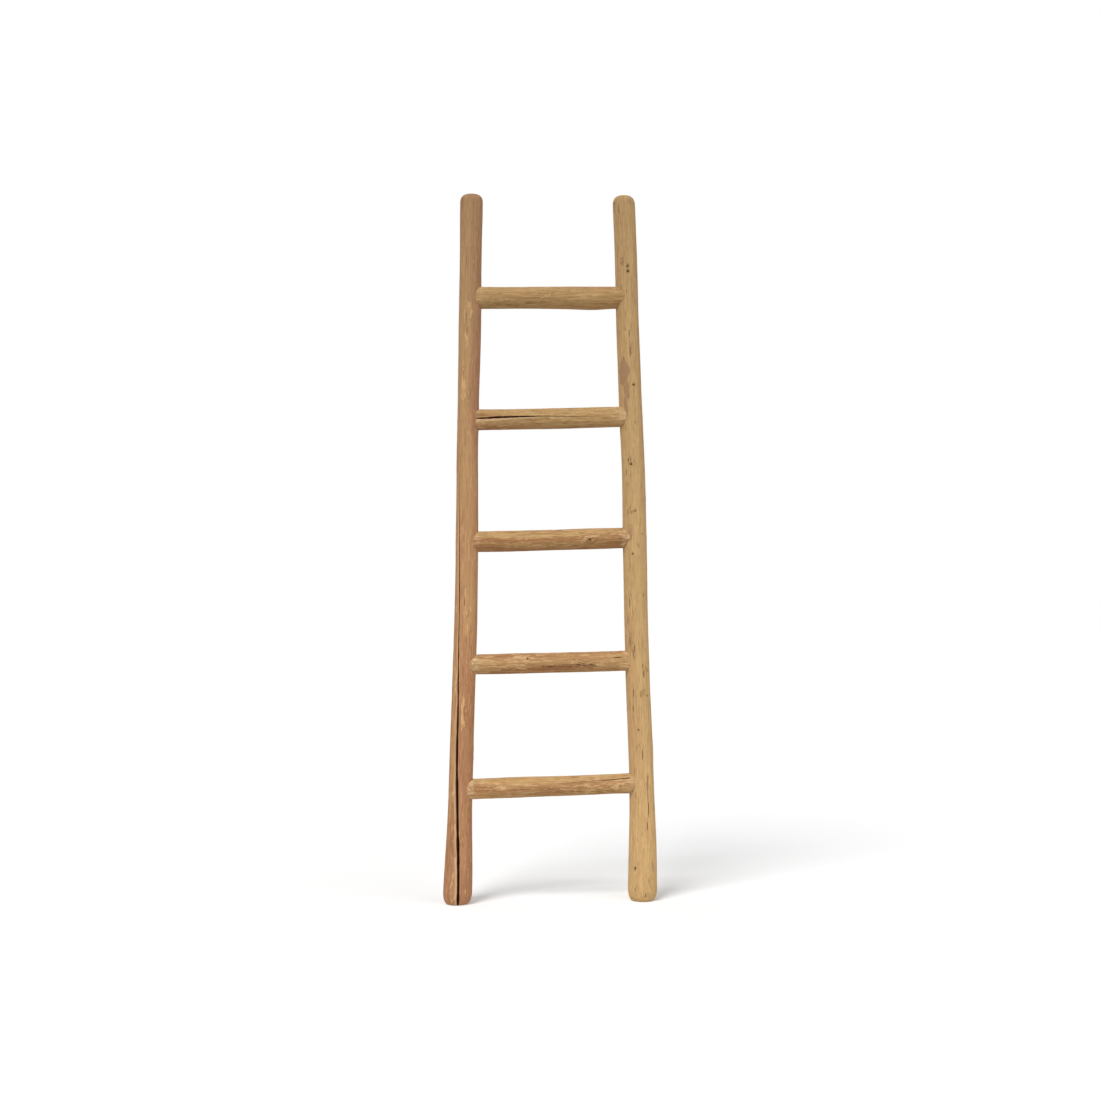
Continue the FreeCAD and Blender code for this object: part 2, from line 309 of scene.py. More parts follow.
# %% Add up the layers of unevenness
# Each layer has its height, then the width and the length of its cells and its seed.
OVAL, OVAL_CELL = 0.75 * MM, (60 * MM, 380 * MM, 1)
SWELL, SWELL_CELL = 0.5 * MM, (30 * MM, 85 * MM, 2)
FLAT, FLAT_CELL, FLAT_LEVEL = 0.34 * MM, (13 * MM, 150 * MM, 3), 0.35
RIPPLE, RIPPLE_CELL = 0.12 * MM, (5 * MM, 60 * MM, 4)
FIBRE, FIBRE_CELL = 0.09 * MM, (2.4 * MM, 26 * MM, 5)
DRIFT, DRIFT_CELL = 2.4 * MM, (40 * MM, 170 * MM, 20)     # the fibres stray sideways
WANDER, WANDER_CELL = 1.1 * MM, (11 * MM, 42 * MM, 21)
SCALE_WIDTH, SCALE_LENGTH = 1.5 * MM, 6.5 * MM
FINE_SCALE, FINE_SCALE_CELL = 0.28, (SCALE_WIDTH, 1.3 * SCALE_LENGTH, 6)
BROAD_SCALE, BROAD_SCALE_CELL = 0.24, (1.7 * SCALE_WIDTH, 3.6 * SCALE_LENGTH, 7)
PATCH_CELL = (4 * MM, 11 * MM, 9)
NOISE_MARGIN = 30 * MM
# A knot's parts, as wide across and as long along the grain in knot sizes.
PARTED, SWOLLEN, SUNK, MARKED = (1.7, 3.4), (1.5, 2.6), (0.5, 0.55), (1.0, 1.15)
PARTING, SINKING = 0.6, 0.7


class Skin:
    """Everything that varies over one pole's skin, on a grid of rows and columns."""

    def __init__(self, pole, place, turn, seed, calm=1.0):
        self.pole, self.place, self.turn, self.seed = pole, place, turn, seed
        self.along = place - pole.low[pole.axis] + NOISE_MARGIN
        self.around = TURN * pole.radius(place)
        self.knot = np.zeros(turn.shape)
        self.inside = np.zeros(turn.shape)
        self.split_lip = 0.0
        self.lift = np.zeros(turn.shape)
        self.flow = turn
        drift = DRIFT * self.layer(*DRIFT_CELL) + WANDER * self.layer(*WANDER_CELL)
        self.flow = turn + drift / pole.radius(place)
        for knot in knots_on(pole):
            self.grow_round(*knot)
        self.add_layers(calm)

    def grow_round(self, place, turn, size, height):
        """A knot swells the skin, and the fibres part round it."""
        across = near(self.turn, turn) * self.around / TURN
        along = self.place - place

        def hump(wide, long):
            return np.exp(-((across / (wide * size)) ** 2) - (along / (long * size)) ** 2)

        self.flow -= PARTING * hump(*PARTED) * across / (self.around / TURN)
        self.lift += height * hump(*SWOLLEN)
        self.lift -= SINKING * height * hump(*SUNK)
        self.knot = np.maximum(self.knot, hump(*MARKED))

    def layer(self, width, length, seed):
        """One layer of unevenness whose cells are about this wide and long."""
        cells = max(3, round(float(self.around.mean()) / width))
        return uneven(self.flow, self.along, cells, length, self.seed + seed)

    def add_layers(self, calm):
        """The oval, the swellings, the knife's flats, the fibres and the scales of bark."""
        self.lift += calm * OVAL * self.layer(*OVAL_CELL)
        self.lift += calm * SWELL * self.layer(*SWELL_CELL)
        self.lift += FLAT * (np.abs(self.layer(*FLAT_CELL)) - FLAT_LEVEL)
        self.lift += RIPPLE * self.layer(*RIPPLE_CELL)
        self.lift += FIBRE * self.layer(*FIBRE_CELL)
        fine_scales = FINE_SCALE * self.layer(*FINE_SCALE_CELL)
        self.scale = 0.5 + fine_scales + BROAD_SCALE * self.layer(*BROAD_SCALE_CELL)

    def patch(self, place, turn, half_length, half_width, wander=0.5):
        """A soft edged patch, with an uneven outline."""
        across = near(self.turn, turn) * self.around / TURN / half_width
        along = (self.place - place) / half_length
        edge = across**2 + along**2 + wander * self.layer(*PATCH_CELL)
        return smooth_step(1.5 - edge)


print("layers:", ", ".join(f"{x / MM:.2f} mm" for x in (OVAL, SWELL, FLAT, RIPPLE, FIBRE)))

# %% [markdown]
# ## Splits
#
# A stem dries faster outside than inside and splits along one line, which follows the twist
# of its fibres. The left rail has one from its foot to past half its height. A crack could
# be painted on, but it is 7 mm wide at the foot and takes in light, so it is cut into the mesh:
# the grid's columns are gathered along the split, and the ones between its lips are pushed
# in. The columns of the whole pole follow the same twist.

# %% The split's course, width and depth
LIPS = np.array([-3, -2, -1.4, -1.12, -1, -0.92, -0.6, -0.25, 0, 0.25, 0.6, 0.92, 1, 1.12, 1.4, 2, 3])
FAR_OFF = 9.0                # stands for every column away from the split
COLUMN_SPACING = 0.7 * MM
TORN_WIDTH, TORN_STEPS = (0.8, 1.2), 61     # how much and how often the width strays
TURN_BLUR = 0.4                             # of a step of the table of turns


class Split:
    """A drying split. Its tables run in even steps from start to end, along the pole."""

    def __init__(self, start, end, turns, widths, depth):
        self.start, self.end = start * MM, end * MM
        self.turns, self.widths = np.array(turns) * DEG, np.array(widths) * MM
        self.depth = depth * MM

    def share(self, place):
        """How far along the split a place is, before 0 and past 1 outside it."""
        return (place - self.start) / (self.end - self.start)

    def course(self, place):
        """The split's turn. Outside the split it runs on at the end's turn."""
        steps = np.linspace(0, 1, len(self.turns))
        share = np.clip(self.share(place), 0, 1)
        blur = TURN_BLUR / len(steps)
        reads = [np.interp(share + d, steps, self.turns) for d in (-blur, -blur / 2, 0, blur / 2, blur)]
        return sum(reads) / len(reads)

    def half_width(self, place):
        """Half the split's width, a little uneven, and 0 outside it."""
        steps = np.linspace(0, 1, len(self.widths))
        share = self.share(place)
        torn = np.random.default_rng(len(self.widths)).uniform(*TORN_WIDTH, TORN_STEPS)
        stray = np.interp(share, np.linspace(0, 1, TORN_STEPS), torn)
        width = np.interp(share, steps, self.widths) * stray
        return np.where((share > 1) | (share < -0.001), 0, width) / 2


SPLITS = {  # start, end, turns, widths, depth
    "rail_left": Split(
        0, 1040, (5, 1, -9, -17, -23, -24.5, -30, -34, -35.5, -38, -41, -46),
        (7.2, 7.2, 6.8, 7.2, 5.9, 4.6, 3.6, 2.6, 2.9, 2.8, 1.6, 0.5), 19,
    ),
    "rung_4": Split(
        -200, 150, (1, 2, 4, 5, 5.5, 5.5, 3.5, 1, -2, -5, -9),
        (4.2, 4.6, 6.1, 4.4, 3.9, 2.1, 1.6, 1.0, 0.8, 0.4, 0.2), 9,
    ),
    "rung_1": Split(20, 200, (21, 23, 26, 28, 31, 34, 35), (0.4, 0.8, 1.0, 1.2, 1.8, 2.3, 2.4), 7),
}

# %% [markdown]
# ## From rows and columns to a closed skin
#
# Every pole is one grid of rings. The rows run along it and close over each end as smaller
# rings, down to one middle point, so that the mesh has no hole and no doubled seam. What
# the finish needs to know is kept on the points as attributes: the straightened place in
# the grain, how golden the wood is, where bark, scales, flecks, stains, spots, knots and cut
# ends are, and what lies inside a split or hole.

# %% Build a closed mesh from rings


def close_rings(rings, first_tip, last_tip):
    """The points and faces of a grid of rings that is closed by a tip at each end."""
    rows, columns = rings.shape[:2]
    index = np.arange(rows * columns).reshape(rows, columns)
    beside = np.roll(index, -1, axis=1)
    quads = np.stack([index[:-1], beside[:-1], beside[1:], index[1:]], -1).reshape(-1, 4)
    first, last = rows * columns, rows * columns + 1
    start = [(first, b, a) for a, b in zip(index[0].tolist(), beside[0].tolist())]
    end = [(last, a, b) for a, b in zip(index[-1].tolist(), beside[-1].tolist())]
    points = np.concatenate([rings.reshape(-1, 3), [first_tip, last_tip]])
    return points, quads.tolist() + start + end


def with_tips(values):
    """Grid values as one list, with a value for each of the two tips."""
    flat = values.reshape(-1, *values.shape[2:])
    ends = np.stack([values[0].mean(axis=0), values[-1].mean(axis=0)])
    return np.concatenate([flat, ends])


def mesh_object(name, points, faces, attributes):
    """A mesh object with its values kept on the points."""
    mesh = bpy.data.meshes.new(name)
    mesh.from_pydata(points.tolist(), [], faces)
    for key, values in attributes.items():
        kind, field = ("FLOAT_VECTOR", "vector") if values.ndim == 2 else ("FLOAT", "value")
        layer = mesh.attributes.new(key, kind, "POINT")
        layer.data.foreach_set(field, values.astype(np.float32).ravel())
    piece = bpy.data.objects.new(name, mesh)
    bpy.context.scene.collection.objects.link(piece)
    return piece


# %% [markdown]
# ## The finish: shared effects
#
# Peeled wood is layers too: a slow change from pinkish inner bark to golden wood, long
# streaks of fibre, short flecks where the knife left bark, fine drying lines, and rings on
# a sawn end. Each layer is a node group with named inputs, so that rails, rungs and plugs
# use the same effects with their own sizes. They all read the grain attribute, in which
# every pole is straight, and so the pattern bends with the wood.

# %% A short way to write nodes


class Recipe:
    """Adds nodes to one tree and joins their sockets."""

    def __init__(self, tree):
        self.tree = tree

    def add(self, kind, inputs=None, **settings):
        """A new node, with its settings and inputs. An input is a value or a socket."""
        node = self.tree.nodes.new(kind)
        for key, value in settings.items():
            setattr(node, key, value)
        for key, value in (inputs or {}).items():
            self.feed(node.inputs[key], value)
        return node

    def feed(self, socket, value):
        """Sets a socket to a value, or joins it to another socket."""
        if isinstance(value, bpy.types.NodeSocket):
            self.tree.links.new(value, socket)
        else:
            socket.default_value = value

    def math(self, operation, a, b=0.0, clamp=False):
        """A sum on one or two numbers."""
        node = self.add("ShaderNodeMath", {0: a, 1: b}, operation=operation, use_clamp=clamp)
        return node.outputs[0]

    def vector(self, operation, a, b):
        """A sum on two vectors."""
        return self.add("ShaderNodeVectorMath", {0: a, 1: b}, operation=operation).outputs[0]

    def scaled(self, vector, scale):
        """A vector times a number."""
        inputs = {0: vector, "Scale": scale}
        return self.add("ShaderNodeVectorMath", inputs, operation="SCALE").outputs[0]

    def remap(self, value, low, high, new_low=0.0, new_high=1.0, soft=True):
        """Values from low to high, laid out again from new_low to new_high."""
        span = {"Value": value, "From Min": low, "From Max": high, "To Min": new_low, "To Max": new_high}
        kind = "SMOOTHSTEP" if soft else "LINEAR"
        return self.add("ShaderNodeMapRange", span, interpolation_type=kind).outputs[0]

    def mix(self, share, a, b, blend="MIX"):
        """Two colours mixed by a share from 0 to 1."""
        node = self.add("ShaderNodeMix", {0: share, 6: a, 7: b}, data_type="RGBA", blend_type=blend)
        return node.outputs[2]

    def centred(self, value, strength):
        """A value from 0 to 1, moved to lie round 0 and made stronger or weaker."""
        return self.math("MULTIPLY", self.math("SUBTRACT", value, 0.5), strength)

    def shade(self, value, low, high):
        """A grey to multiply a colour by, from low to high as the value rises."""
        level = self.remap(value, 0.1, 0.9, low, high, soft=False)
        return self.add("ShaderNodeCombineColor", {0: level, 1: level, 2: level}).outputs[0]

    def times(self, a, b):
        """One colour multiplied by another."""
        return self.mix(1.0, a, b, "MULTIPLY")

    def over(self, below, above, share, depth):
        """A colour laid over another, by a share that is weakened to a depth."""
        return self.mix(self.math("MULTIPLY", share, depth), below, above)

    def attribute(self, name, output="Fac"):
        """Reads an attribute of the mesh in a material."""
        return self.add("ShaderNodeAttribute", attribute_name=name).outputs[output]


VALUE, VECTOR, GEOMETRY = "NodeSocketFloat", "NodeSocketVector", "NodeSocketGeometry"
OBJECT, MATERIAL = "NodeSocketObject", "NodeSocketMaterial"
SOCKET_OF = {float: VALUE, tuple: VECTOR, int: "NodeSocketInt"}


def new_group(name, kind, inputs, output, socket):
    """A node group with named inputs and one output: its recipe, inputs and output node.
    An input is given as its default value, or as its kind of socket."""
    tree = bpy.data.node_groups.new(name, kind)
    for label, start in inputs.items():
        plain = isinstance(start, str)
        kind_of_socket = start if plain else SOCKET_OF[type(start)]
        item = tree.interface.new_socket(label, in_out="INPUT", socket_type=kind_of_socket)
        if not plain:
            item.default_value = start
    tree.interface.new_socket(output, in_out="OUTPUT", socket_type=socket)
    recipe = Recipe(tree)
    source = recipe.add("NodeGroupInput")
    return recipe, source.outputs, recipe.add("NodeGroupOutput")


def effect_group(name, output, **inputs):
    """A group for materials. Its inputs are Grain, the ones given here and Seed."""
    inputs = {label.replace("_", " "): value for label, value in inputs.items()}
    sockets = {"Grain": VECTOR, **inputs, "Seed": 0.0}
    return new_group(name, "ShaderNodeTree", sockets, output, VALUE)


# %% Fibre: noise drawn out along the grain


def stretched_noise(recipe, grain, across, along, seed, detail, distortion=0.0):
    """Noise whose features are about this wide across the grain and this long along it."""
    size = recipe.add("ShaderNodeCombineXYZ", {0: across, 1: across, 2: along}).outputs[0]
    spot = recipe.vector("DIVIDE", grain, size)
    settings = {"Vector": spot, "W": seed, "Scale": 1.0, "Detail": detail, "Distortion": distortion}
    return recipe.add("ShaderNodeTexNoise", settings, noise_dimensions="4D").outputs[0]


fibre, given, result = effect_group("fibre", "Fibre", Across=0.002, Along=0.05, Contrast=1.0)
raw = stretched_noise(fibre, given["Grain"], given["Across"], given["Along"], given["Seed"], 3.0, 0.15)
drawn = fibre.math("ADD", fibre.centred(raw, given["Contrast"]), 0.5, clamp=True)
fibre.feed(result.inputs["Fibre"], drawn)

# %% Flecks: scales of bark left standing, with ragged ends
TEAR_WIDTH, TEAR_LENGTH = 0.9 * MM, 12 * MM
FLECK_DROP = 0.58            # how far the level for a fleck falls where they are thickest
flecks, given, result = effect_group(
    "flecks", "Fleck", Scale=0.5, Amount=0.5, Raggedness=0.3, Edge=0.08
)
torn = stretched_noise(flecks, given["Grain"], TEAR_WIDTH, TEAR_LENGTH, given["Seed"], 3.0, 0.3)
level = flecks.remap(given["Amount"], 0.0, 1.0, 1.0, 1.0 - FLECK_DROP, soft=False)
top = flecks.math("ADD", level, given["Edge"])
ragged_scale = flecks.math("ADD", given["Scale"], flecks.centred(torn, given["Raggedness"]))
flecks.feed(result.inputs["Fleck"], flecks.remap(ragged_scale, level, top))

# %% Drying lines: thin dark dashes along the grain, in loose clusters
CLUSTER_WIDTH, CLUSTER_DEPTH = 9.0, 0.5      # in widths of a dash; how much it counts
DASH_LEVELS, DASH_EDGE = (0.80, 0.52), 0.05  # from no dashes to the most
lines, given, result = effect_group("drying_lines", "Line", Amount=0.5, Width=0.0012, Length=0.03)
raw = stretched_noise(lines, given["Grain"], given["Width"], given["Length"], given["Seed"], 1.0, 0.1)
wide = lines.math("MULTIPLY", given["Width"], CLUSTER_WIDTH)
gate_seed = lines.math("ADD", given["Seed"], 31.0)
gate = stretched_noise(lines, given["Grain"], wide, given["Length"], gate_seed, 1.0)
limit = lines.remap(given["Amount"], 0.0, 1.0, *DASH_LEVELS, soft=False)
clustered = lines.math("ADD", raw, lines.centred(gate, CLUSTER_DEPTH))
dashed = lines.remap(clustered, limit, lines.math("ADD", limit, DASH_EDGE))
lines.feed(result.inputs["Line"], dashed)

# %% Rings: the year rings of a sawn end, round the pith
RING_SWAY, SWAY_SCALE = 4 * MM, 70.0
rings, given, result = effect_group("year_rings", "Ring", Ring_Width=0.0022)
flat_place = rings.vector("MULTIPLY", given["Grain"], (1.0, 1.0, 0.0))
from_pith = rings.add("ShaderNodeVectorMath", {0: flat_place}, operation="LENGTH").outputs["Value"]
sway = rings.add(
    "ShaderNodeTexNoise",
    {"Vector": flat_place, "W": given["Seed"], "Scale": SWAY_SCALE, "Detail": 2.0},
    noise_dimensions="4D",
).outputs[0]
swayed = rings.math("ADD", from_pith, rings.math("MULTIPLY", sway, RING_SWAY))
year = rings.math("FRACT", rings.math("DIVIDE", swayed, given["Ring Width"]))
rings.feed(result.inputs["Ring"], rings.math("POWER", year, 2.5))

print("shared effects:", ", ".join(r.tree.name for r in (fibre, flecks, lines, rings)))

# %% [markdown]
# ## The finish: one recipe for every peeled pole
#
# The rails and rungs differ in tone and in how much bark the knife left, not in kind. So
# one function writes the material, and a small table gives each its colours. The Principled
# shader stays in the material, dry and matte, with the constants set on its own sockets.
# Bump carries only what is finer than the mesh: the raised fibres and flecks.

# %% Write a peeled wood material


def effect(recipe, group, output, **inputs):
    """Places a shared effect in a material with its own values."""
    node = recipe.add("ShaderNodeGroup", node_tree=group.tree)
    for key, value in inputs.items():
        recipe.feed(node.inputs[key.replace("_", " ")], value)
    return node.outputs[output]


def tone(r, g, b):
    """A colour given as it looks on screen, from 0 to 255, as the linear one nodes use."""
    parts = [c / 255 for c in (r, g, b)]
    return tuple(((c + 0.055) / 1.055) ** 2.4 if c > 0.04 else c / 12.92 for c in parts) + (1.0,)


def grey(level):
    """An opaque grey, from 0 to 1."""
    return (level, level, level, 1.0)


def new_material(name):
    """An empty material, and the recipe for its nodes."""
    material = bpy.data.materials.new(name)
    material.use_nodes = True
    r = Recipe(material.node_tree)
    r.tree.nodes.clear()
    return material, r


def fibres(r, grain, size, seed):
    """The fibre effect. size is a width, a length and a contrast."""
    across, along, contrast = size
    return effect(r, fibre, "Fibre", Grain=grain, Across=across, Along=along, Contrast=contrast, Seed=seed)


def principled(r, colour, rough, relief, bump, specular):
    """The shader, with its relief. bump is a strength and a depth."""
    strength, distance = bump
    inputs = {"Height": relief, "Strength": strength, "Distance": distance}
    normal = r.add("ShaderNodeBump", inputs).outputs[0]
    if isinstance(rough, tuple):
        rough = r.remap(rough[0], 0.0, 1.0, *rough[1:], soft=False)
    inputs = {"Base Color": colour, "Roughness": rough, "Normal": normal, "Specular IOR Level": specular}
    shader = r.add("ShaderNodeBsdfPrincipled", inputs)
    r.add("ShaderNodeOutputMaterial", {"Surface": shader.outputs[0]})


# Painted shade inside splits, checks and holes: the walls take a darker colour, and a darker one still
# deeper in.
WALL_SHADE, DEEP_SHADE = tone(118, 68, 54), tone(88, 40, 38)
SAWN_PALE, SAWN_RING = tone(226, 196, 156), tone(186, 144, 102)
KNOT_HEART, KNOT_RING = tone(112, 76, 46), tone(158, 116, 76)
SPOT_BROWN, SPOT_DEPTH = tone(112, 82, 50), 0.75
# Fibres: width, length and contrast, from the slow bands of tone down to crumbs of a stain.
BAND, MOTTLE = (11 * MM, 300 * MM, 2.1), (2.6 * MM, 30 * MM, 2.5)
STREAK, FINE, CRUMB = (1.8 * MM, 85 * MM, 2.0), (0.5 * MM, 12 * MM, 1.9), (1.2 * MM, 7 * MM, 2.6)
BAND_PULL = 0.9
FINE_SHADES = (0.86, 1.12)
STAIN_EDGE = (0.45, 0.65)
DASH_WIDTH, DASH_LENGTH = 1.5 * MM, 32 * MM
# The painted shade towards the poles' tops is at its darkest at this height.
TOP_LEVEL = 1.75
KNOT_RINGS, KNOT_EDGE, KNOT_DEPTH = 17.0, 0.6, 0.5
# How far inside a split the painted shade sets in, and where its deeper colour starts.
WALL_SHADE_FROM, DEEP_SHADE_FROM = 0.02, 0.3
STREAK_RELIEF, FINE_RELIEF, FLECK_RELIEF, DASH_RELIEF = 0.35, 0.30, 0.30, 0.5
WOOD_BUMP, WOOD_ROUGH, WOOD_SPECULAR = (1.0, 0.8 * MM), (0.78, 0.62), 0.18


def peeled_wood(name, look, seed):
    """A material for peeled poles. look holds the colours and amounts of one kind of pole.
    Each effect adds a small number of its own to the seed."""
    material, r = new_material(name)
    grain = r.attribute("grain", "Vector")
    sizes = (BAND, MOTTLE, STREAK, FINE)
    band, mottle, streak, fine = (fibres(r, grain, size, seed + i) for i, size in enumerate(sizes))
    golden = r.math("ADD", r.attribute("golden"), r.centred(band, BAND_PULL))
    colour = r.mix(r.remap(golden, 0.0, 1.0), look["rose"], look["gold"])
    colour = r.times(colour, r.mix(mottle, look["mottle_dark"], grey(1.0)))
    colour = r.times(colour, r.shade(streak, *look["streaks"]))

    scale = r.attribute("scale")
    worn = effect(
        r, flecks, "Fleck", Grain=grain, Scale=r.math("SUBTRACT", 1.0, scale), Amount=r.attribute("bark"),
        Raggedness=0.5, Edge=0.24, Seed=seed + 4,
    )
    colour = r.over(colour, look["bark"], worn, look["bark_depth"])
    pale = effect(
        r, flecks, "Fleck", Grain=grain, Scale=scale, Amount=r.attribute("fleck"), Raggedness=0.8,
        Edge=0.16, Seed=seed + 5,
    )
    colour = r.over(colour, look["fleck"], pale, look["fleck_depth"])
    fine_shade = r.shade(fine, *FINE_SHADES)
    colour = r.times(colour, fine_shade)

    threads = r.centred(fibres(r, grain, CRUMB, seed + 8), look["stain_threads"])
    stain = r.remap(r.math("ADD", r.attribute("stain"), threads), *STAIN_EDGE)
    colour = r.over(colour, look["stain"], stain, look["stain_depth"])
    dashes = effect(
        r, lines, "Line", Grain=grain, Amount=look["dashes"], Width=DASH_WIDTH, Length=DASH_LENGTH,
        Seed=seed + 6,
    )
    colour = r.over(colour, look["dash"], dashes, look["dash_depth"])
    colour = r.over(colour, SPOT_BROWN, r.attribute("spot"), SPOT_DEPTH)

    # Painted shade: the colour is multiplied darker towards each pole's top, from the height given in its
    # look up to TOP_LEVEL.
    height = r.add("ShaderNodeTexCoord").outputs["Object"]
    level = r.add("ShaderNodeSeparateXYZ", {0: height}).outputs["Z"]
    top_shade = r.remap(level, look["top_shade_from"], TOP_LEVEL, soft=False)
    colour = r.times(colour, r.mix(top_shade, grey(1.0), look["top_shade"]))

    knot = r.attribute("knot")
    knot_ring = r.math("SINE", r.math("MULTIPLY", knot, KNOT_RINGS))
    knot_colour = r.mix(r.remap(knot_ring, -1.0, 1.0), KNOT_RING, KNOT_HEART)
    colour = r.mix(r.remap(knot, KNOT_EDGE, 1.0, 0.0, KNOT_DEPTH), colour, knot_colour)

    ring = effect(r, rings, "Ring", Grain=grain, Seed=seed + 7)
    sawn = r.times(r.mix(ring, SAWN_PALE, SAWN_RING), fine_shade)
    colour = r.mix(r.attribute("sawn"), colour, sawn)
    # Painted shade: the walls of splits, checks and holes are coloured darker the deeper they lie.
    inside = r.attribute("inside")
    deep = r.mix(r.remap(inside, DEEP_SHADE_FROM, 1.0), WALL_SHADE, DEEP_SHADE)
    colour = r.mix(r.remap(inside, WALL_SHADE_FROM, DEEP_SHADE_FROM), colour, deep)

    relief = r.math("MULTIPLY", streak, STREAK_RELIEF)
    for layer, weight in ((fine, FINE_RELIEF), (pale, FLECK_RELIEF), (dashes, -DASH_RELIEF)):
        relief = r.math("ADD", relief, r.math("MULTIPLY", layer, weight))
    principled(r, colour, (streak, *WOOD_ROUGH), relief, WOOD_BUMP, WOOD_SPECULAR)
    return material


# In each look, the last two entries give the painted shade towards the top: its tint and the height where
# it starts.
LOOKS = {
    "rail_left_wood": dict(
        gold=tone(208, 162, 113), rose=tone(194, 142, 105), bark=tone(166, 114, 70), bark_depth=0.6,
        fleck=tone(232, 188, 130), fleck_depth=0.8, stain=tone(150, 112, 84), stain_depth=0.6,
        stain_threads=0.8, dash=tone(120, 82, 58), dash_depth=0.4, dashes=0.35,
        mottle_dark=tone(238, 233, 230), streaks=(0.80, 1.18), top_shade=(0.72, 0.775, 0.83, 1.0),
        top_shade_from=0.6,
    ),
    "rail_right_wood": dict(
        gold=tone(226, 187, 131), rose=tone(218, 176, 125), bark=tone(200, 158, 108), bark_depth=0.5,
        fleck=tone(226, 194, 144), fleck_depth=0.5, stain=tone(182, 141, 106), stain_depth=0.8,
        stain_threads=0.35, dash=tone(112, 82, 52), dash_depth=0.75, dashes=0.40,
        mottle_dark=tone(234, 230, 224), streaks=(0.83, 1.15), top_shade=(0.69, 0.69, 0.70, 1.0),
        top_shade_from=0.2,
    ),
    "rung_wood": dict(
        gold=tone(212, 173, 120), rose=tone(184, 131, 90), bark=tone(158, 106, 70), bark_depth=0.5,
        fleck=tone(224, 186, 136), fleck_depth=0.75, stain=tone(92, 76, 48), stain_depth=0.8,
        stain_threads=1.3, dash=tone(116, 80, 54), dash_depth=0.6, dashes=0.40,
        mottle_dark=tone(224, 213, 201), streaks=(0.80, 1.20), top_shade=(0.79, 0.82, 0.83, 1.0),
        top_shade_from=0.2,
    ),
}
LOOK_SEED = 10.0             # the step from one wood's seed to the next one's
materials = {}
for i, (name, look) in enumerate(LOOKS.items()):
    materials[name] = peeled_wood(name, look, LOOK_SEED * i)
print("woods:", ", ".join(materials))

# %% [markdown]
# The plugs are cut across the grain of a board, so their fibres run up and down on the
# face. The slivers of bark are thin and pale. The screws are zinc plated steel, hidden in
# the joints, and show only when the model is taken apart.

# %% Plug, sliver and screw materials


def two_fibres(r, broad, fine, seed):
    """Two sizes of fibre, read from the object's own coordinates."""
    place = r.add("ShaderNodeTexCoord").outputs["Object"]
    return fibres(r, place, broad, seed), fibres(r, place, fine, seed + 1)


def plain_fibre(name, tones, broad, fine, pores, rough, bump, specular, seed):
    """Wood or bark in two tones, with darker pores. pores are a range and two amounts.
    rough is one value or, from the dark tone to the light one, two."""
    material, r = new_material(name)
    dark, light, pore = tones
    broad, fine = two_fibres(r, broad, fine, seed)
    colour = r.mix(broad, dark, light)
    colour = r.mix(r.remap(fine, *pores), colour, pore)
    if isinstance(rough, tuple):
        rough = (broad, *rough)
    principled(r, colour, rough, fine, bump, specular)
    return material


def zinc_steel(name, tones, crystal_scale, haze_scale, rough):
    """Bright zinc plating, with a faint crystal pattern. rough is a range and two levels."""
    material, r = new_material(name)
    place = r.add("ShaderNodeTexCoord").outputs["Object"]
    pattern = {"Vector": place, "Scale": crystal_scale}
    crystal = r.add("ShaderNodeTexVoronoi", pattern).outputs["Distance"]
    pattern = {"Vector": place, "Scale": haze_scale, "Detail": 3.0}
    colour = r.mix(r.add("ShaderNodeTexNoise", pattern).outputs[0], *tones)
    rough = r.remap(crystal, *rough, soft=False)
    shader = r.add("ShaderNodeBsdfPrincipled", {"Base Color": colour, "Roughness": rough, "Metallic": 1.0})
    r.add("ShaderNodeOutputMaterial", {"Surface": shader.outputs[0]})
    return material


materials["plug_wood"] = plain_fibre(
    "plug_wood", tones=(tone(182, 138, 92), tone(212, 172, 124), tone(160, 116, 74)),
    broad=(1.2 * MM, 30 * MM, 1.8), fine=(0.4 * MM, 6 * MM, 1.5), pores=(0.3, 0.8, 0.0, 0.3),
    rough=(0.62, 0.48), bump=(0.5, 0.2 * MM), specular=0.35, seed=51.0,
)
materials["bark_sliver"] = plain_fibre(
    "bark_sliver", tones=(tone(198, 152, 106), tone(232, 196, 148), tone(166, 118, 80)),
    broad=(6 * MM, 6 * MM, 2.0), fine=(0.7 * MM, 0.7 * MM, 1.6), pores=(0.3, 0.9, 0.0, 0.35),
    rough=0.72, bump=(0.6, 0.3 * MM), specular=0.3, seed=61.0,
)
materials["screw_steel"] = zinc_steel(
    "screw_steel", tones=(tone(196, 196, 190), tone(216, 210, 192)), crystal_scale=900.0,
    haze_scale=260.0, rough=(0.0, 0.8, 0.26, 0.42),
)
print(len(materials), "materials")

# %% [markdown]
# ## The rails
#
# The rails are sawn off and rounded over with a rasp, in a taller curve at the foot than at
# the top. Rows are close together through the rounding, and even along the pole. The foot
# stays flat on the floor.

# %% Rows along a rail
RAIL_COLUMNS, RAIL_ROWS = 160, 540
ROUND_ROWS = 10
CAP_SHARES = (0.06, 0.2, 0.4, 0.6, 0.8)
FOOT_ROUND = (28 * MM, 12.5 * MM)  # tall, deep
TOP_ROUNDS = {"rail_left": (17 * MM, 11 * MM), "rail_right": (21 * MM, 13 * MM)}
# A split's lips and pale side, in half widths from its middle, and how far each spreads.
CLOSED_WIDTH = 0.4 * MM
LIP_RISE, LIP_AT, LIP_SPREAD = 0.25 * MM, 1.25, 0.12
PALE_LIP, PALE_AT, PALE_SPREAD, PALE_WIDTH = 1.2, -1.7, 0.35, 1.4 * MM


def rounded_end(size):
    """(height above the end, inset) for the rows of a rounded edge, from the flat out."""
    tall, deep = size
    angles = np.linspace(0, math.pi / 2, ROUND_ROWS, endpoint=False)
    return tall * (1 - np.cos(angles)), deep * (1 - np.sin(angles))


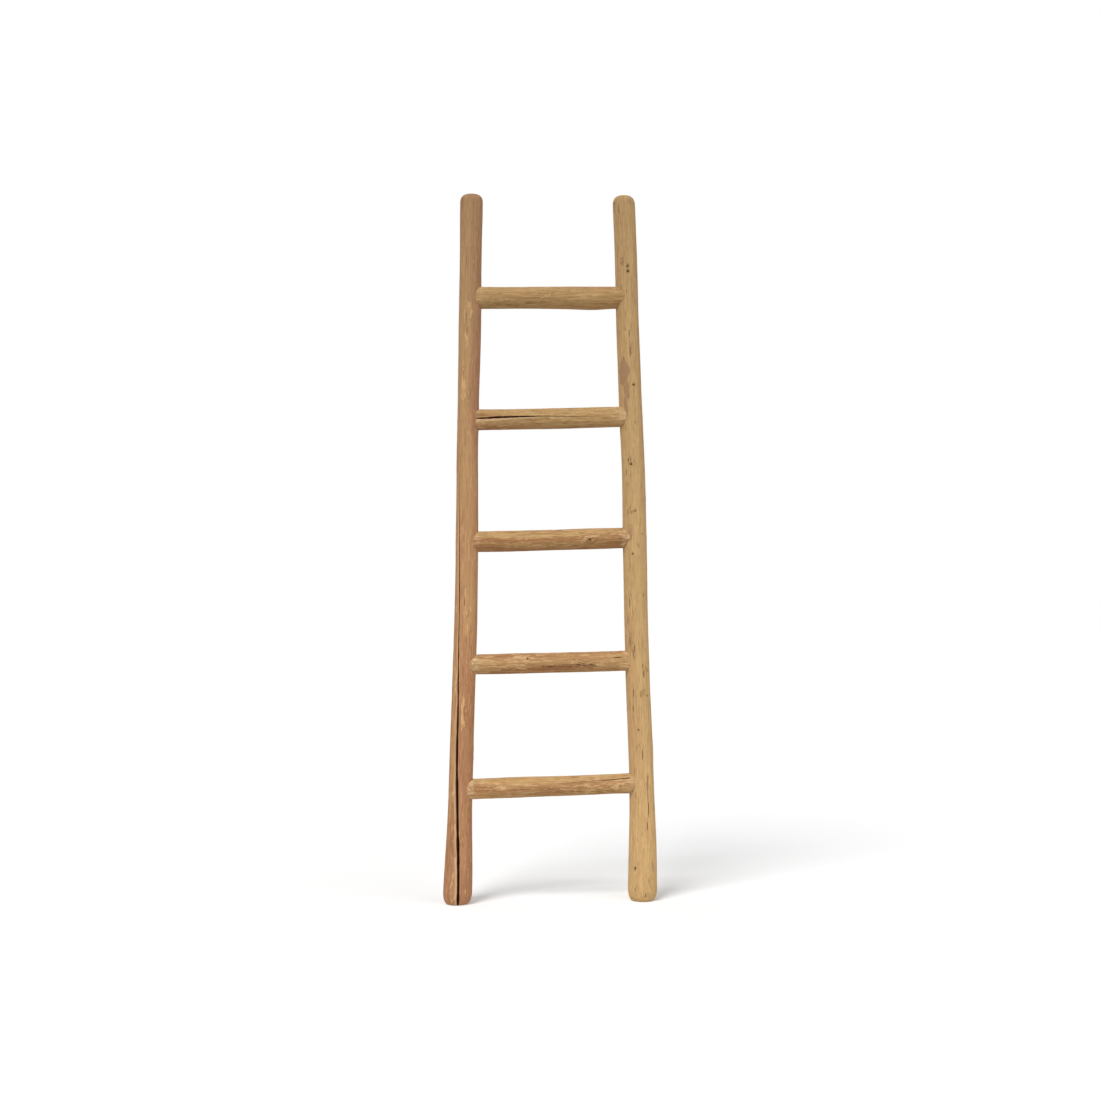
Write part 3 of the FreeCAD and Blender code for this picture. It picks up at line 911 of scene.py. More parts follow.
def rail_rows(pole):
    """For each row of a rail its height, its inset and its share of the radius."""
    foot, top = pole.low[2], pole.high[2]
    foot_rise, foot_inset = rounded_end(FOOT_ROUND)
    top_round = TOP_ROUNDS[pole.node]
    top_rise, top_inset = rounded_end(top_round)
    shaft = np.linspace(foot + FOOT_ROUND[0], top - top_round[0], RAIL_ROWS)
    caps = np.array(CAP_SHARES)
    heights = [np.full(len(caps), foot), foot + foot_rise, shaft]
    heights += [(top - top_rise)[::-1], np.full(len(caps), top)]
    flat = np.ones(len(caps))
    insets = [flat * FOOT_ROUND[1], foot_inset, shaft * 0, top_inset[::-1], flat * top_round[1]]
    bodies = np.ones(len(foot_rise))
    shares = [caps, bodies, shaft * 0 + 1, bodies, caps[::-1]]
    return np.concatenate(heights), np.concatenate(insets), np.concatenate(shares)


# %% Columns round a pole, gathered along its split


def columns(split, place, radius, count):
    """The turn of each column in each row, and its distance from the split in half widths."""
    if split is None:
        even = np.linspace(0, TURN, count, endpoint=False)
        return np.broadcast_to(even, (len(place), count)), None
    half = split.half_width(place)
    window = np.maximum(half, COLUMN_SPACING * 0.5)
    near_lips = (window / radius)[:, None] * LIPS
    rest = count - len(LIPS)
    share = (np.arange(rest) + 1) / (rest + 1)
    start = near_lips[:, -1:]
    away = start + (TURN - 2 * start) * share
    turn = split.course(place)[:, None] + np.concatenate([near_lips, away], axis=1)
    return turn, np.concatenate([LIPS, np.full(rest, FAR_OFF)])


def cut_split(skin, split, offsets):
    """Pushes the columns between the lips in, and lifts the lips a little."""
    half = split.half_width(skin.place[:, :1])
    opened = smooth_step(half / CLOSED_WIDTH)
    wedge = np.clip(1 - np.abs(offsets), 0, 1)[None, :]
    depth = split.depth * opened * (half / half.max()) ** 0.5
    lips = np.exp(-((np.abs(offsets) - LIP_AT) ** 2) / LIP_SPREAD)[None, :]
    pale_side = np.exp(-((offsets - PALE_AT) ** 2) / PALE_SPREAD)[None, :]
    skin.split_lip = PALE_LIP * pale_side * smooth_step(half / PALE_WIDTH)
    skin.lift += LIP_RISE * lips * opened * (np.abs(offsets) >= 1)
    # How far inside the split each point lies, which the finish paints with shade.
    skin.inside = np.maximum(skin.inside, wedge**0.5 * opened)
    return wedge**0.8 * depth


# %% [markdown]
# The tone of each pole changes along and round it. These strips and patches are the ones
# this ladder shows: the left rail is golden on its outer side and pink towards the rungs,
# the third rung is pink with a golden upper third, and the top rung keeps the most bark.

# %% Strips of golden wood and bark
BASE = {  # how golden, how much bark, how many flecks
    "rail_left": (0.25, 0.2, 0.15), "rail_right": (0.75, 0.4, 0.2), "rung_1": (0.78, 0.36, 0.62),
    "rung_2": (0.72, 0.32, 0.56), "rung_3": (0.1, 0.5, 0.42), "rung_4": (0.6, 0.65, 0.46),
    "rung_5": (0.75, 0.75, 0.35),
}
GOLDEN = {  # place, turn, half length, half width, strength
    "rail_left": (
        (1300, -40, 500, 17, 0.6), (640, -48, 420, 12, 0.7), (900, 20, 260, 22, 0.7),
        (90, -50, 110, 14, -0.6), (420, 25, 170, 24, -0.5),
    ),
    "rail_right": ((1000, 20, 700, 20, 0.3),),
    "rung_3": ((-20, 58, 230, 19, 1.7),),
    "rung_1": ((0, 60, 230, 18, 0.6),),
    "rung_4": ((0, 35, 180, 10, 0.3),),
}
BARKED = {  # place, turn, half length, half width, strength
    "rail_left": ((330, 20, 330, 60, 0.45), (110, -48, 130, 20, 0.8)),
    "rung_3": ((170, -12, 60, 16, 0.7), (-120, -8, 90, 12, 0.4)),
    "rung_4": ((-160, -22, 50, 9, 0.9),),
    "rung_5": ((0, -50, 200, 14, 0.5),),
}
FLECKED = {  # place, turn, half length, half width, strength
    "rail_left": (
        (1410, -18, 60, 7, 0.66), (1448, -2, 30, 5, 0.62), (1300, -34, 50, 6, 0.5),
        (1268, -25, 40, 6, 0.48), (700, 5, 90, 9, 0.5), (560, -42, 60, 7, 0.7), (470, 3, 45, 7, 0.7),
        (240, -30, 120, 8, 0.3), (545, -37, 12, 4, 0.9), (38, -28, 45, 17, 0.15), (55, 28, 65, 18, 0.3),
    ),
    "rail_right": ((60, -10, 60, 30, 0.3),),
    "rung_3": (
        (92, -12, 16, 5, 1.6), (110, 8, 20, 4, 1.4), (114, -22, 14, 4, 1.4), (84, 4, 9, 3, 1.2),
        (190, -5, 20, 20, 0.6),
    ),
    "rung_4": ((-150, -15, 40, 5, 0.8), (185, 0, 22, 18, 0.5)),
    "rung_1": ((-125, 8, 24, 10, 0.2), (180, -10, 24, 12, 0.35)),
}
# How the base values stray: by how much, and the width, length and seed of the cells.
GOLDEN_STRAY, GOLDEN_CELL = 0.35, (26 * MM, 240 * MM, 11)
BARK_STRAY, BARK_CELL = (0.8, 0.6), (30 * MM, 110 * MM, 13)  # as a mean and a share
FLECK_STRAY, FLECK_CELL = (0.8, 0.5), (24 * MM, 60 * MM, 12)
STRIP_WANDER, SPOT_WANDER = 0.3, 0.2         # how uneven the outlines of patches are
SPOT_STRETCH = 1.2
SCALE_RISE, SCALE_EDGE = 0.16 * MM, 0.1
SAWN_LIP = 0.7
GRAIN_SHIFT = 3.1


def patches(skin, table, wander=0.5):
    """The patches that a table gives this skin, each as strong as it says."""
    for place, turn, length, width, strength in table.get(skin.pole.node, ()):
        yield strength * skin.patch(place * MM, turn * DEG, length * MM, width * MM, wander)


def strayed(skin, base, mean_and_stray, cell):
    """A base value that strays over a skin."""
    mean, stray = mean_and_stray
    return base * (mean + stray * skin.layer(*cell))


def fleck_amount(skin):
    """How thickly the pale scales of bark lie over a skin, from 0 to 1."""
    fleck = strayed(skin, BASE[skin.pole.node][2], FLECK_STRAY, FLECK_CELL)
    for patch in patches(skin, FLECKED):
        fleck = fleck + patch
    return np.clip(fleck, 0, 1)


def raise_scales(skin, fleck):
    """Lifts the skin where a pale scale of bark stands."""
    level = 1.0 - FLECK_DROP * fleck
    skin.lift += SCALE_RISE * smooth_step((skin.scale - level) / SCALE_EDGE)


def finish_values(skin, sawn, fleck):
    """The attributes that the finish reads, on the skin's grid."""
    name = skin.pole.node
    golden = BASE[name][0] + GOLDEN_STRAY * skin.layer(*GOLDEN_CELL)
    for patch in patches(skin, GOLDEN, STRIP_WANDER):
        golden += patch
    stain, spot = np.zeros(golden.shape), np.zeros(golden.shape)
    halo = HALO_STRENGTH.get(name, OTHER_HALO)
    for place, turn, radius in HOLES[name]:
        size = SPOT_HALO * radius * MM
        long = SPOT_STRETCH * size
        round_hole = skin.patch(place * MM, turn * DEG, long, size, SPOT_WANDER)
        spot = np.maximum(spot, halo * round_hole)
    for patch in patches(skin, STAINS):
        stain = np.maximum(stain, patch)
    bark = strayed(skin, BASE[name][1], BARK_STRAY, BARK_CELL)
    for patch in patches(skin, BARKED, STRIP_WANDER):
        bark += patch
    values = {
        "golden": golden + skin.split_lip, "stain": stain, "fleck": fleck, "bark": bark,
        "knot": skin.knot, "sawn": sawn + SAWN_LIP * skin.split_lip, "inside": skin.inside,
        "scale": skin.scale, "spot": spot,
    }
    return {key: np.clip(value, 0, 1) for key, value in values.items()}


def grain_place(skin, radius, shift):
    """The straightened place in the grain, shifted so that no two poles look alike."""
    flow = skin.flow
    along = skin.place + shift
    return np.stack([radius * np.cos(flow), radius * np.sin(flow), along], -1)


def closed_skin(skin, radius, points, tip_places, sawn, fleck):
    """The finished skin as a mesh object, closed at its tips, with what the finish reads."""
    values = finish_values(skin, sawn, fleck)
    values["grain"] = grain_place(skin, radius, skin.seed * GRAIN_SHIFT)
    tips = skin.pole.centre(np.array(tip_places))
    mesh_points, faces = close_rings(points, *tips)
    attributes = {key: with_tips(v) for key, v in values.items()}
    return mesh_object(skin.pole.node + "_skin", mesh_points, faces, attributes)


# %% Make the two rails
CUT_ROUGHNESS, CUT_CELL = 0.35 * MM, (6 * MM, 9 * MM, 15)
SAWN_SLOPE, SAWN_START = 2.2, 0.9            # how fast the sawn look sets in over the inset
RAIL_SEED, RUNG_SEED, SEED_STEP = 100, 300, 40


def make_rail(name, seed):
    """A rail's closed skin."""
    pole, split = poles[name], SPLITS.get(name)
    height, inset, share = rail_rows(pole)
    turn, offsets = columns(split, height, pole.radius(height), RAIL_COLUMNS)
    place = np.broadcast_to(height[:, None], turn.shape)
    skin = Skin(pole, place, turn, seed)
    fleck = fleck_amount(skin)
    raise_scales(skin, fleck)
    cut = cut_split(skin, split, offsets) if split else np.zeros(turn.shape)
    plain = pole.radius(place)
    outer = plain + skin.lift - inset[:, None]
    radius = np.minimum(outer, plain + skin.lift - cut) * share[:, None]
    points = pole.point(place, turn, radius)
    is_top = (share < 1) & (height > pole.high[2] / 2)
    points[..., 2] += is_top[:, None] * CUT_ROUGHNESS * skin.layer(*CUT_CELL)
    sawn = smooth_step((inset / inset.max()) * SAWN_SLOPE - SAWN_START)[:, None]
    sawn = sawn * np.ones(turn.shape)
    return closed_skin(skin, radius, points, [height[0], height[-1]], sawn, fleck)


pieces, surfaces = {}, {}
for i, name in enumerate(RAIL_NAMES):
    pieces[name] = make_rail(name, RAIL_SEED + SEED_STEP * i)
    surfaces[name] = surface_of(pieces[name])
    print(name, len(pieces[name].data.polygons), "faces")

# %% [markdown]
# ## The rungs
#
# A rung's end is saddle cut, so its outline on the rail is where its skin meets the rail's
# skin. Both are uneven now, and a plain Boolean would leave a knife-thin edge. Instead each
# line along the rung is run on until it meets the finished rail, and the last few rows turn
# in over a lip a millimetre thick, as a rasped saddle has. The rings that close the end lie
# on the rail's own surface, a hair inside it, so nothing gapes.

# %% Run each rung up to the rails
RUNG_COLUMNS, RUNG_ROWS = 250, 345
LIP = 1.0 * MM
LIP_ROWS = ((0.0, 1.0), (0.25 * MM, 0.5), (0.8 * MM, 0.14), (1.8 * MM, 0.0))
SADDLE_SHARES = (0.08, 0.3, 0.55, 0.8)
SEAT = 0.3 * MM
CALM_LENGTH = 60 * MM
TIP_REACH = 9 * MM


def meet_rail(pole, rail, turn, radius, toward):
    """Where the rung's lines at these turns and radii meet the rail, along the rung."""
    middle = float(pole.places.mean())
    start = pole.point(np.full(turn.shape, middle), turn, radius)
    ends = pole.centre(np.array([pole.places[0], pole.places[-1]]))
    along = Vector(ends[1] - ends[0]).normalized() * toward
    axis_x = float(poles[rail].centre(np.array(start[0, 2]))[0])
    limit = axis_x - toward * TIP_REACH
    found = []
    for point in start:
        hit = surfaces[rail].ray_cast(Vector(point), along)[0]
        place = limit if hit is None else hit.x
        found.append(min(place, limit) if toward > 0 else max(place, limit))
    return np.array(found)


# %% [markdown]
# No saddle here is a perfect one. Most ends are blunter than a true saddle's curve, because
# the end of the rung was left a little square and hammered home. Each end has three values:
# how far the skin stands out half way round to its top and bottom, how far its front is
# flattened, and how pale and crumbly its lip is.

# %% The shape of each rung's ends
BELLY = {"rung_5": (118, -80, 46, 20, 2.3)}  # place, turn, length, width, rise
END_SHAPES = {  # square, flat, pale, at the left end and at the right end
    "rung_1": ((3.4, 0.4, 1.0), (2.6, -0.6, 0.3)),
    "rung_2": ((1.6, -1.4, 0.8), (2.8, 0.4, 0.2)),
    "rung_3": ((1.6, 1.0, 0.2), (-0.8, -1.6, 0.5)),
    "rung_4": ((2.6, 5.0, 0.2), (1.8, 0.4, 0.4)),
    "rung_5": ((2.2, 1.6, 0.2), (0.2, 0.0, 0.0)),
}
END_SHAPE_LENGTH, LIP_LENGTH = 45 * MM, 7 * MM
CRUMBLE, CRUMB_CELL = 0.5 * MM, (3.4 * MM, 3.2 * MM, 16)
CALM_LEVEL = 0.35            # how uneven a rung's ends are, against its middle
SMOOTH_END = 4 * MM
SAWN_END, LIP_SLOPE, LIP_START = 0.8, 1.4, 0.2
CRUMB_MEAN, CRUMB_STRAY = 0.8, 0.5


def end_lift(name, end, turn):
    """How far a rung's skin stands out or in at its left (0) or right (1) end."""
    square, flat, _ = END_SHAPES[name][end]
    front = smooth_step(np.cos(turn) * 2 + 0.5)
    diagonal = np.sin(2 * turn) ** 2
    return MM * front * (square * diagonal - flat * np.clip(np.cos(turn), 0, 1) ** 6)


def rung_rows():
    """For each row from right to left: its step, its distance back, its drop and its share."""
    caps = [(0.0, -SEAT, LIP, share) for share in SADDLE_SHARES]
    lips = [(0.0, back, drop * LIP, 1.0) for back, drop in LIP_ROWS]
    shaft = [(step, None, 0.0, 1.0) for step in np.linspace(0, 1, RUNG_ROWS + 2)[1:-1]]
    start = caps + lips
    return start, shaft, [(1.0, back, drop, share) for _, back, drop, share in start[::-1]]


def rung_grid(pole, turn, ends):
    """The place of each row and column of a rung. ends is the radius at its right and left."""
    start, shaft, finish = rung_rows()

    def on_right(share):
        return meet_rail(pole, "rail_right", turn[0], (ends[0] - LIP) * share, 1)

    def on_left(share):
        return meet_rail(pole, "rail_left", turn[-1], (ends[1] - LIP) * share, -1)

    right, left, caps = on_right(1.0), on_left(1.0), len(SADDLE_SHARES)
    first, last = right - LIP_ROWS[-1][0], left + LIP_ROWS[-1][0]
    rows = [on_right(share) - back for _, back, _, share in start[:caps]]
    rows += [right - back for _, back, _, _ in start[caps:]]
    rows += [first + (last - first) * step for step, _, _, _ in shaft]
    rows += [left + back for _, back, _, _ in finish[:-caps]]
    rows += [on_left(share) + back for _, back, _, share in finish[-caps:]]
    table = start + shaft + finish
    drop, share = (np.array([row[k] for row in table])[:, None] for k in (2, 3))
    return np.array(rows), drop, share


def rung_skin(pole, place, turn, seed):
    """The skin of a rung, calmer near its ends, with their shapes and its belly."""
    name = pole.node
    from_right, from_left = place[0] - place, place - place[-1]
    middle = smooth_step(np.minimum(from_right, from_left) / CALM_LENGTH)
    calm = CALM_LEVEL + (1 - CALM_LEVEL) * middle
    skin = Skin(pole, place, turn, seed, calm)
    skin.lift += end_lift(name, 1, turn) * (1 - smooth_step(from_right / END_SHAPE_LENGTH))
    skin.lift += end_lift(name, 0, turn) * (1 - smooth_step(from_left / END_SHAPE_LENGTH))
    right_lip, left_lip = (END_SHAPES[name][end][2] for end in (1, 0))
    skin.pale = np.maximum(
        right_lip * (1 - smooth_step(from_right / LIP_LENGTH)),
        left_lip * (1 - smooth_step(from_left / LIP_LENGTH)),
    )
    crumbs = skin.layer(*CRUMB_CELL)
    skin.lift += CRUMBLE * skin.pale * crumbs
    skin.pale = np.clip(skin.pale * (CRUMB_MEAN + CRUMB_STRAY * crumbs), 0, 1)
    if name in BELLY:
        at, angle, length, width, rise = BELLY[name]
        across = near(turn, angle * DEG) * pole.radius(place) / (width * MM)
        skin.lift += rise * MM * np.exp(-(across**2) - ((place - at * MM) / (length * MM)) ** 2)
    return skin


def make_rung(name, seed):
    """A rung's closed skin, from the right rail to the left one."""
    pole, split = poles[name], SPLITS.get(name)
    start, shaft, finish = rung_rows()
    rough = np.linspace(pole.high[0], pole.low[0], len(start) + len(shaft) + len(finish))
    turn, offsets = columns(split, rough, pole.radius(rough), RUNG_COLUMNS)
    plain = pole.radius(rough)[:, None]
    first_try = rung_skin(pole, rough[:, None] * np.ones(turn.shape), turn, seed)
    ends = (plain[0] + first_try.lift[0], plain[-1] + first_try.lift[-1])
    place, drop, share = rung_grid(pole, turn, ends)
    skin = rung_skin(pole, place, turn, seed)
    fleck = fleck_amount(skin)
    end_zone = 1 - smooth_step(np.minimum(place[0] - place, place - place[-1]) / SMOOTH_END)
    raise_scales(skin, fleck * (1 - end_zone))
    cut = cut_split(skin, split, offsets) if split else np.zeros(turn.shape)
    radius = (pole.radius(place) + skin.lift - np.maximum(drop, cut)) * share
    points = pole.point(place, turn, radius)
    sawn = np.maximum(smooth_step(drop / LIP * LIP_SLOPE - LIP_START), SAWN_END * skin.pale)
    return closed_skin(skin, radius, points, [place[0].mean(), place[-1].mean()], sawn, fleck)


for i, name in enumerate(RUNG_NAMES):
    pieces[name] = make_rung(name, RUNG_SEED + SEED_STEP * i)
    print(name, len(pieces[name].data.polygons), "faces")

# %% [markdown]
# ## Holes, and slivers of bark
#
# Beetle holes and the plugs' holes are round and deep, whatever the grid does, and slivers
# of bark repeat by the hundred. Geometry Nodes make both: points instance a cutter that a
# Mesh Boolean takes away, and points scattered where the fleck value is high instance a
# thin lens of bark, which noise then makes ragged. Every size is a named input.

# %% The node tree for a drilled and flecked pole


class GeometryRecipe(Recipe):
    """A recipe for geometry nodes, with the steps that both trees take."""

    def last(self, kind, inputs, **settings):
        """A new node's first output."""
        return self.add(kind, inputs, **settings).outputs[0]

    def named(self, name, data_type="FLOAT"):
        """Reads a named attribute."""
        kind = "GeometryNodeInputNamedAttribute"
        return self.add(kind, {"Name": name}, data_type=data_type).outputs["Attribute"]

    def store(self, geometry, name, value, data_type, domain):
        """Keeps a value as a named attribute."""
        inputs = {"Geometry": geometry, "Name": name, "Value": value}
        kind = "GeometryNodeStoreNamedAttribute"
        return self.last(kind, inputs, data_type=data_type, domain=domain)

    def place_of(self):
        """Each point's own place."""
        return self.add("GeometryNodeInputPosition").outputs[0]

    def point_at(self, direction):
        """The rotation that points the local Z in a direction."""
        return self.last("FunctionNodeAlignRotationToVector", {"Vector": direction}, axis="Z")

    def turn_round(self, rotation, axis, direction):
        """Turns a rotation round its local Z, until another axis points in a direction."""
        inputs = {"Rotation": rotation, "Vector": direction}
        return self.last("FunctionNodeAlignRotationToVector", inputs, axis=axis, pivot_axis="Z")

    def instances(self, points, instance, rotation, scale):
        """Real geometry from an instance on every point."""
        inputs = {"Points": points, "Instance": instance, "Rotation": rotation, "Scale": scale}
        return self.realized(self.last("GeometryNodeInstanceOnPoints", inputs))

    def realized(self, geometry):
        """The geometry with its instances made real."""
        return self.last("GeometryNodeRealizeInstances", {0: geometry})

    def painted(self, geometry, material):
        """The geometry with a material set."""
        return self.last("GeometryNodeSetMaterial", {"Geometry": geometry, "Material": material})


def geometry_tree(name, inputs):
    """An empty geometry tree with named inputs: its recipe, its inputs and its output."""
    sockets = {"Geometry": GEOMETRY, **inputs}
    recipe, given, result = new_group(name, "GeometryNodeTree", sockets, "Geometry", GEOMETRY)
    return GeometryRecipe(recipe.tree), given, result.inputs["Geometry"]


SLIVER_SEGMENTS, SLIVER_RINGS = 6, 4
SLIVER_LENGTHS = {"Min": 0.45, "Max": 1.6}
SLIVER_CROWDING = 1.5        # how strongly the slivers gather where flecks are thickest
SLIVER_NOISE = {"Scale": 260.0, "Detail": 1.0}
CUTTER_SIDES = 28

pole_tree, given, result = geometry_tree(
    "drilled_and_flecked_pole",
    {
        "Holes": OBJECT, "Wood": MATERIAL, "Bark": MATERIAL, "Grain Direction": (0.0, 0.0, 1.0),
        "Slivers per m2": 7500.0, "Sliver Length": 0.007, "Sliver Width": 0.0015,
        "Sliver Height": 0.0004, "Raggedness": 0.0008, "Lowest Sliver": 0.012, "Seed": 0,
    },
)
g = pole_tree
grain_direction = given["Grain Direction"]

hole_points = g.add("GeometryNodeObjectInfo", {"Object": given["Holes"]}).outputs["Geometry"]
cutter = g.last("GeometryNodeMeshCylinder", {"Vertices": CUTTER_SIDES, "Radius": 1.0, "Depth": 2.0})
aim = g.turn_round(g.point_at(g.named("outward", "FLOAT_VECTOR")), "Y", grain_direction)
cutters = g.instances(hole_points, cutter, aim, g.named("hole_size", "FLOAT_VECTOR"))
# The cutters' walls count as wholly inside, so a hole's wall takes the deepest painted shade.
shade_marked_cutters = g.store(cutters, "inside", 1.0, "FLOAT", "POINT")
drilled = g.add("GeometryNodeMeshBoolean", operation="DIFFERENCE", solver="MANIFOLD")
g.feed(drilled.inputs["Mesh 1"], given["Geometry"])
g.feed(drilled.inputs["Mesh 2"], shade_marked_cutters)

bare = g.math("SUBTRACT", 1.0, g.math("MAXIMUM", g.named("inside"), g.named("sawn")), clamp=True)
height = g.add("ShaderNodeSeparateXYZ", {0: g.place_of()}).outputs["Z"]
bare = g.math("MULTIPLY", bare, g.math("GREATER_THAN", height, given["Lowest Sliver"]))
chance = g.math("MULTIPLY", g.math("POWER", g.named("fleck"), SLIVER_CROWDING), bare)
scatter = g.add(
    "GeometryNodeDistributePointsOnFaces",
    {"Mesh": given["Geometry"], "Seed": given["Seed"]},
    distribute_method="RANDOM",
)
g.feed(scatter.inputs["Density"], g.math("MULTIPLY", chance, given["Slivers per m2"]))
lens_size = {"Segments": SLIVER_SEGMENTS, "Rings": SLIVER_RINGS, "Radius": 0.5}
lens = g.last("GeometryNodeMeshUVSphere", lens_size)
flat_down = g.turn_round(g.point_at(scatter.outputs["Normal"]), "X", grain_direction)
spread = g.add("FunctionNodeRandomValue", {**SLIVER_LENGTHS, "Seed": given["Seed"]}, data_type="FLOAT")
length = g.math("MULTIPLY", spread.outputs[1], given["Sliver Length"])
sliver_size = {0: length, 1: given["Sliver Width"], 2: given["Sliver Height"]}
size = g.last("ShaderNodeCombineXYZ", sliver_size)
slivers = g.instances(scatter.outputs["Points"], lens, flat_down, size)
noise = g.add("ShaderNodeTexNoise", {"Vector": g.place_of(), **SLIVER_NOISE}).outputs["Color"]
push = g.scaled(g.vector("SUBTRACT", noise, (0.5, 0.5, 0.5)), given["Raggedness"])
ragged = g.last("GeometryNodeSetPosition", {"Geometry": slivers, "Offset": push})
joined = g.add("GeometryNodeJoinGeometry")
g.feed(joined.inputs[0], g.painted(ragged, given["Bark"]))
g.feed(joined.inputs[0], g.painted(drilled.outputs[0], given["Wood"]))
g.feed(result, g.realized(joined.outputs[0]))
print("tree with", len(g.tree.nodes), "nodes")

# %% [markdown]
# A modifier's inputs are set by their identifiers. Then the evaluated result becomes the
# piece's plain mesh, and the modifier goes. The plugs will need the rails' skins as they were
# before the bores, so a helper keeps both.

# %% Mark the holes and run the tree
PLUG_RADIUS = 6 * MM
PLUG_FIT = 0.12 * MM
BORE_DEPTH = 14 * MM
BEETLE_DEPTH, CHECK_DEPTH = 7 * MM, 3.5 * MM
HOLE_STRETCH = 1.25
SLIVER_SEED = 7
SHARP_ANGLE = 48 * DEG
OUTER_SIDE = {"rail_left": -90 * DEG, "rail_right": 90 * DEG}
RUNG_NUMBERS = range(1, 6)


def run_tree(piece, tree, values):
    """Runs a geometry tree on a piece, and keeps the result as its plain mesh."""
    modifier = piece.modifiers.new(tree.name, "NODES")
    modifier.node_group = tree
    for item in tree.interface.items_tree:
        if item.item_type == "SOCKET" and item.in_out == "INPUT" and item.name in values:
            modifier[item.identifier] = values[item.name]
    bpy.context.view_layer.update()
    graph = bpy.context.evaluated_depsgraph_get()
    mesh = bpy.data.meshes.new_from_object(
        piece.evaluated_get(graph), preserve_all_data_layers=True, depsgraph=graph
    )
    piece.modifiers.clear()
    piece.data = mesh
    mesh.shade_smooth()
    mesh.set_sharp_from_angle(angle=SHARP_ANGLE)
    return piece


def rung_height(rail, number):
    """The height at which a rung's axis meets a rail's axis."""
    rung = poles[f"rung_{number}"]
    x = float(poles[rail].centre(np.array(rung.low[2] / 2 + rung.high[2] / 2))[0])
    return float(rung.centre(np.array(x))[2])


def both_rails():
    """Both rails' skins, before they are drilled, as one helper for the plugs."""
    points, faces = [], []
    for mesh in (pieces[name].data for name in RAIL_NAMES):
        start = len(points)
        points += [tuple(v.co) for v in mesh.vertices]
        faces += [[start + v for v in p.vertices] for p in mesh.polygons]
    return mesh_object("rails_helper", np.array(points), faces, {})


def marks_on(name):
    """Points at a pole's holes and checks, with each one's direction and half sizes."""
    pole = poles[name]
    marks = [(p, t, r, r * HOLE_STRETCH, BEETLE_DEPTH) for p, t, r in HOLES[name]]
    marks += [(p, t, width / 2, length / 2, CHECK_DEPTH) for p, t, length, width in CHECKS[name]]
    marks = [(p * MM, t * DEG, wide * MM, long * MM, deep) for p, t, wide, long, deep in marks]
    if name in RAIL_NAMES:
        bore = (OUTER_SIDE[name], PLUG_RADIUS + PLUG_FIT, PLUG_RADIUS + PLUG_FIT, BORE_DEPTH)
        marks += [(rung_height(name, number), *bore) for number in RUNG_NUMBERS]
    place, turn, wide, long, deep = np.array(marks).T
    points = pole.point(place, turn, pole.radius(place))
    attributes = {"outward": pole.out(turn), "hole_size": np.column_stack([wide, long, deep])}
    return mesh_object(name + "_marks", points, [], attributes)


helper = both_rails()
for i, (name, piece) in enumerate(pieces.items()):
    marks = marks_on(name)
    wood = "rung_wood" if name in RUNG_NAMES else name + "_wood"
    direction = (0.0, 0.0, 1.0) if name in RAIL_NAMES else (1.0, 0.0, 0.0)
    values = {
        "Holes": marks, "Wood": materials[wood], "Bark": materials["bark_sliver"],
        "Grain Direction": direction, "Seed": SLIVER_SEED + i,
    }
    run_tree(piece, pole_tree.tree, values)
    bpy.data.objects.remove(marks)
    print(name, len(piece.data.polygons), "faces after drilling and flecking")

# %% [markdown]
# ## Plugs
#
# A plug is glued in over each screw head and cut flush, so its face has the rail's curve.
# A disc with a few rings is instanced at each bore, and its outer face is then laid on the
# rail's skin with a Raycast, a touch proud, as wood swells in its glue.

# %% The node tree for plugs
PLUG_SIDES, PLUG_RINGS, PLUG_STEPS = 40, 6, 3
RAY_LIFT, RAY_REACH = 30 * MM, 100 * MM

plug_tree, given, result = geometry_tree(
    "flush_plugs",
    {"Rails": OBJECT, "Wood": MATERIAL, "Radius": 0.006, "Depth": 0.0135, "Proud": 0.0002},
)
g = plug_tree
blank = g.add(
    "GeometryNodeMeshCylinder",
    {
        "Vertices": PLUG_SIDES, "Side Segments": PLUG_STEPS, "Fill Segments": PLUG_RINGS,
        "Radius": 1.0, "Depth": 1.0,
    },
)
faced = g.store(blank.outputs["Mesh"], "face", blank.outputs["Top"], "BOOLEAN", "FACE")
outward = g.named("outward", "FLOAT_VECTOR")
plug_size = {0: given["Radius"], 1: given["Radius"], 2: given["Depth"]}
scale = g.last("ShaderNodeCombineXYZ", plug_size)
solid = g.instances(given["Geometry"], faced, g.point_at(outward), scale)
rails_geometry = g.add("GeometryNodeObjectInfo", {"Object": given["Rails"]}).outputs["Geometry"]
shot = g.add(
    "GeometryNodeRaycast",
    {
        "Target Geometry": rails_geometry,
        "Source Position": g.vector("ADD", g.place_of(), g.scaled(outward, RAY_LIFT)),
        "Ray Direction": g.scaled(outward, -1.0),
        "Ray Length": RAY_REACH,
    },
)
landed = g.vector("ADD", shot.outputs["Hit Position"], g.scaled(outward, given["Proud"]))
flush = g.last(
    "GeometryNodeSetPosition",
    {"Geometry": solid, "Selection": g.named("face", "BOOLEAN"), "Position": landed},
)
g.feed(result, g.realized(g.painted(flush, given["Wood"])))

# %% Set the plugs
PLUG_DEPTH = 13.6 * MM
PLUG_INSET = 7.2 * MM


def plug_points():
    """The middle of each plug, with its outward direction."""
    points, outs = [], []
    for name, outer in OUTER_SIDE.items():
        pole = poles[name]
        for number in RUNG_NUMBERS:
            z = np.array(rung_height(name, number))
            points.append(pole.point(z, np.array(outer), pole.radius(z) - PLUG_INSET))
            outs.append(pole.out(np.array(outer)))
    return mesh_object("plugs", np.array(points), [], {"outward": np.array(outs)})


plug_piece = plug_points()
run_tree(
    plug_piece,
    plug_tree.tree,
    {"Rails": helper, "Wood": materials["plug_wood"], "Radius": PLUG_RADIUS, "Depth": PLUG_DEPTH},
)
bpy.data.objects.remove(helper)
print("plug heights:", [round(rung_height("rail_left", n) / MM) for n in RUNG_NUMBERS])
print("plugs:", len(plug_piece.data.polygons), "faces")
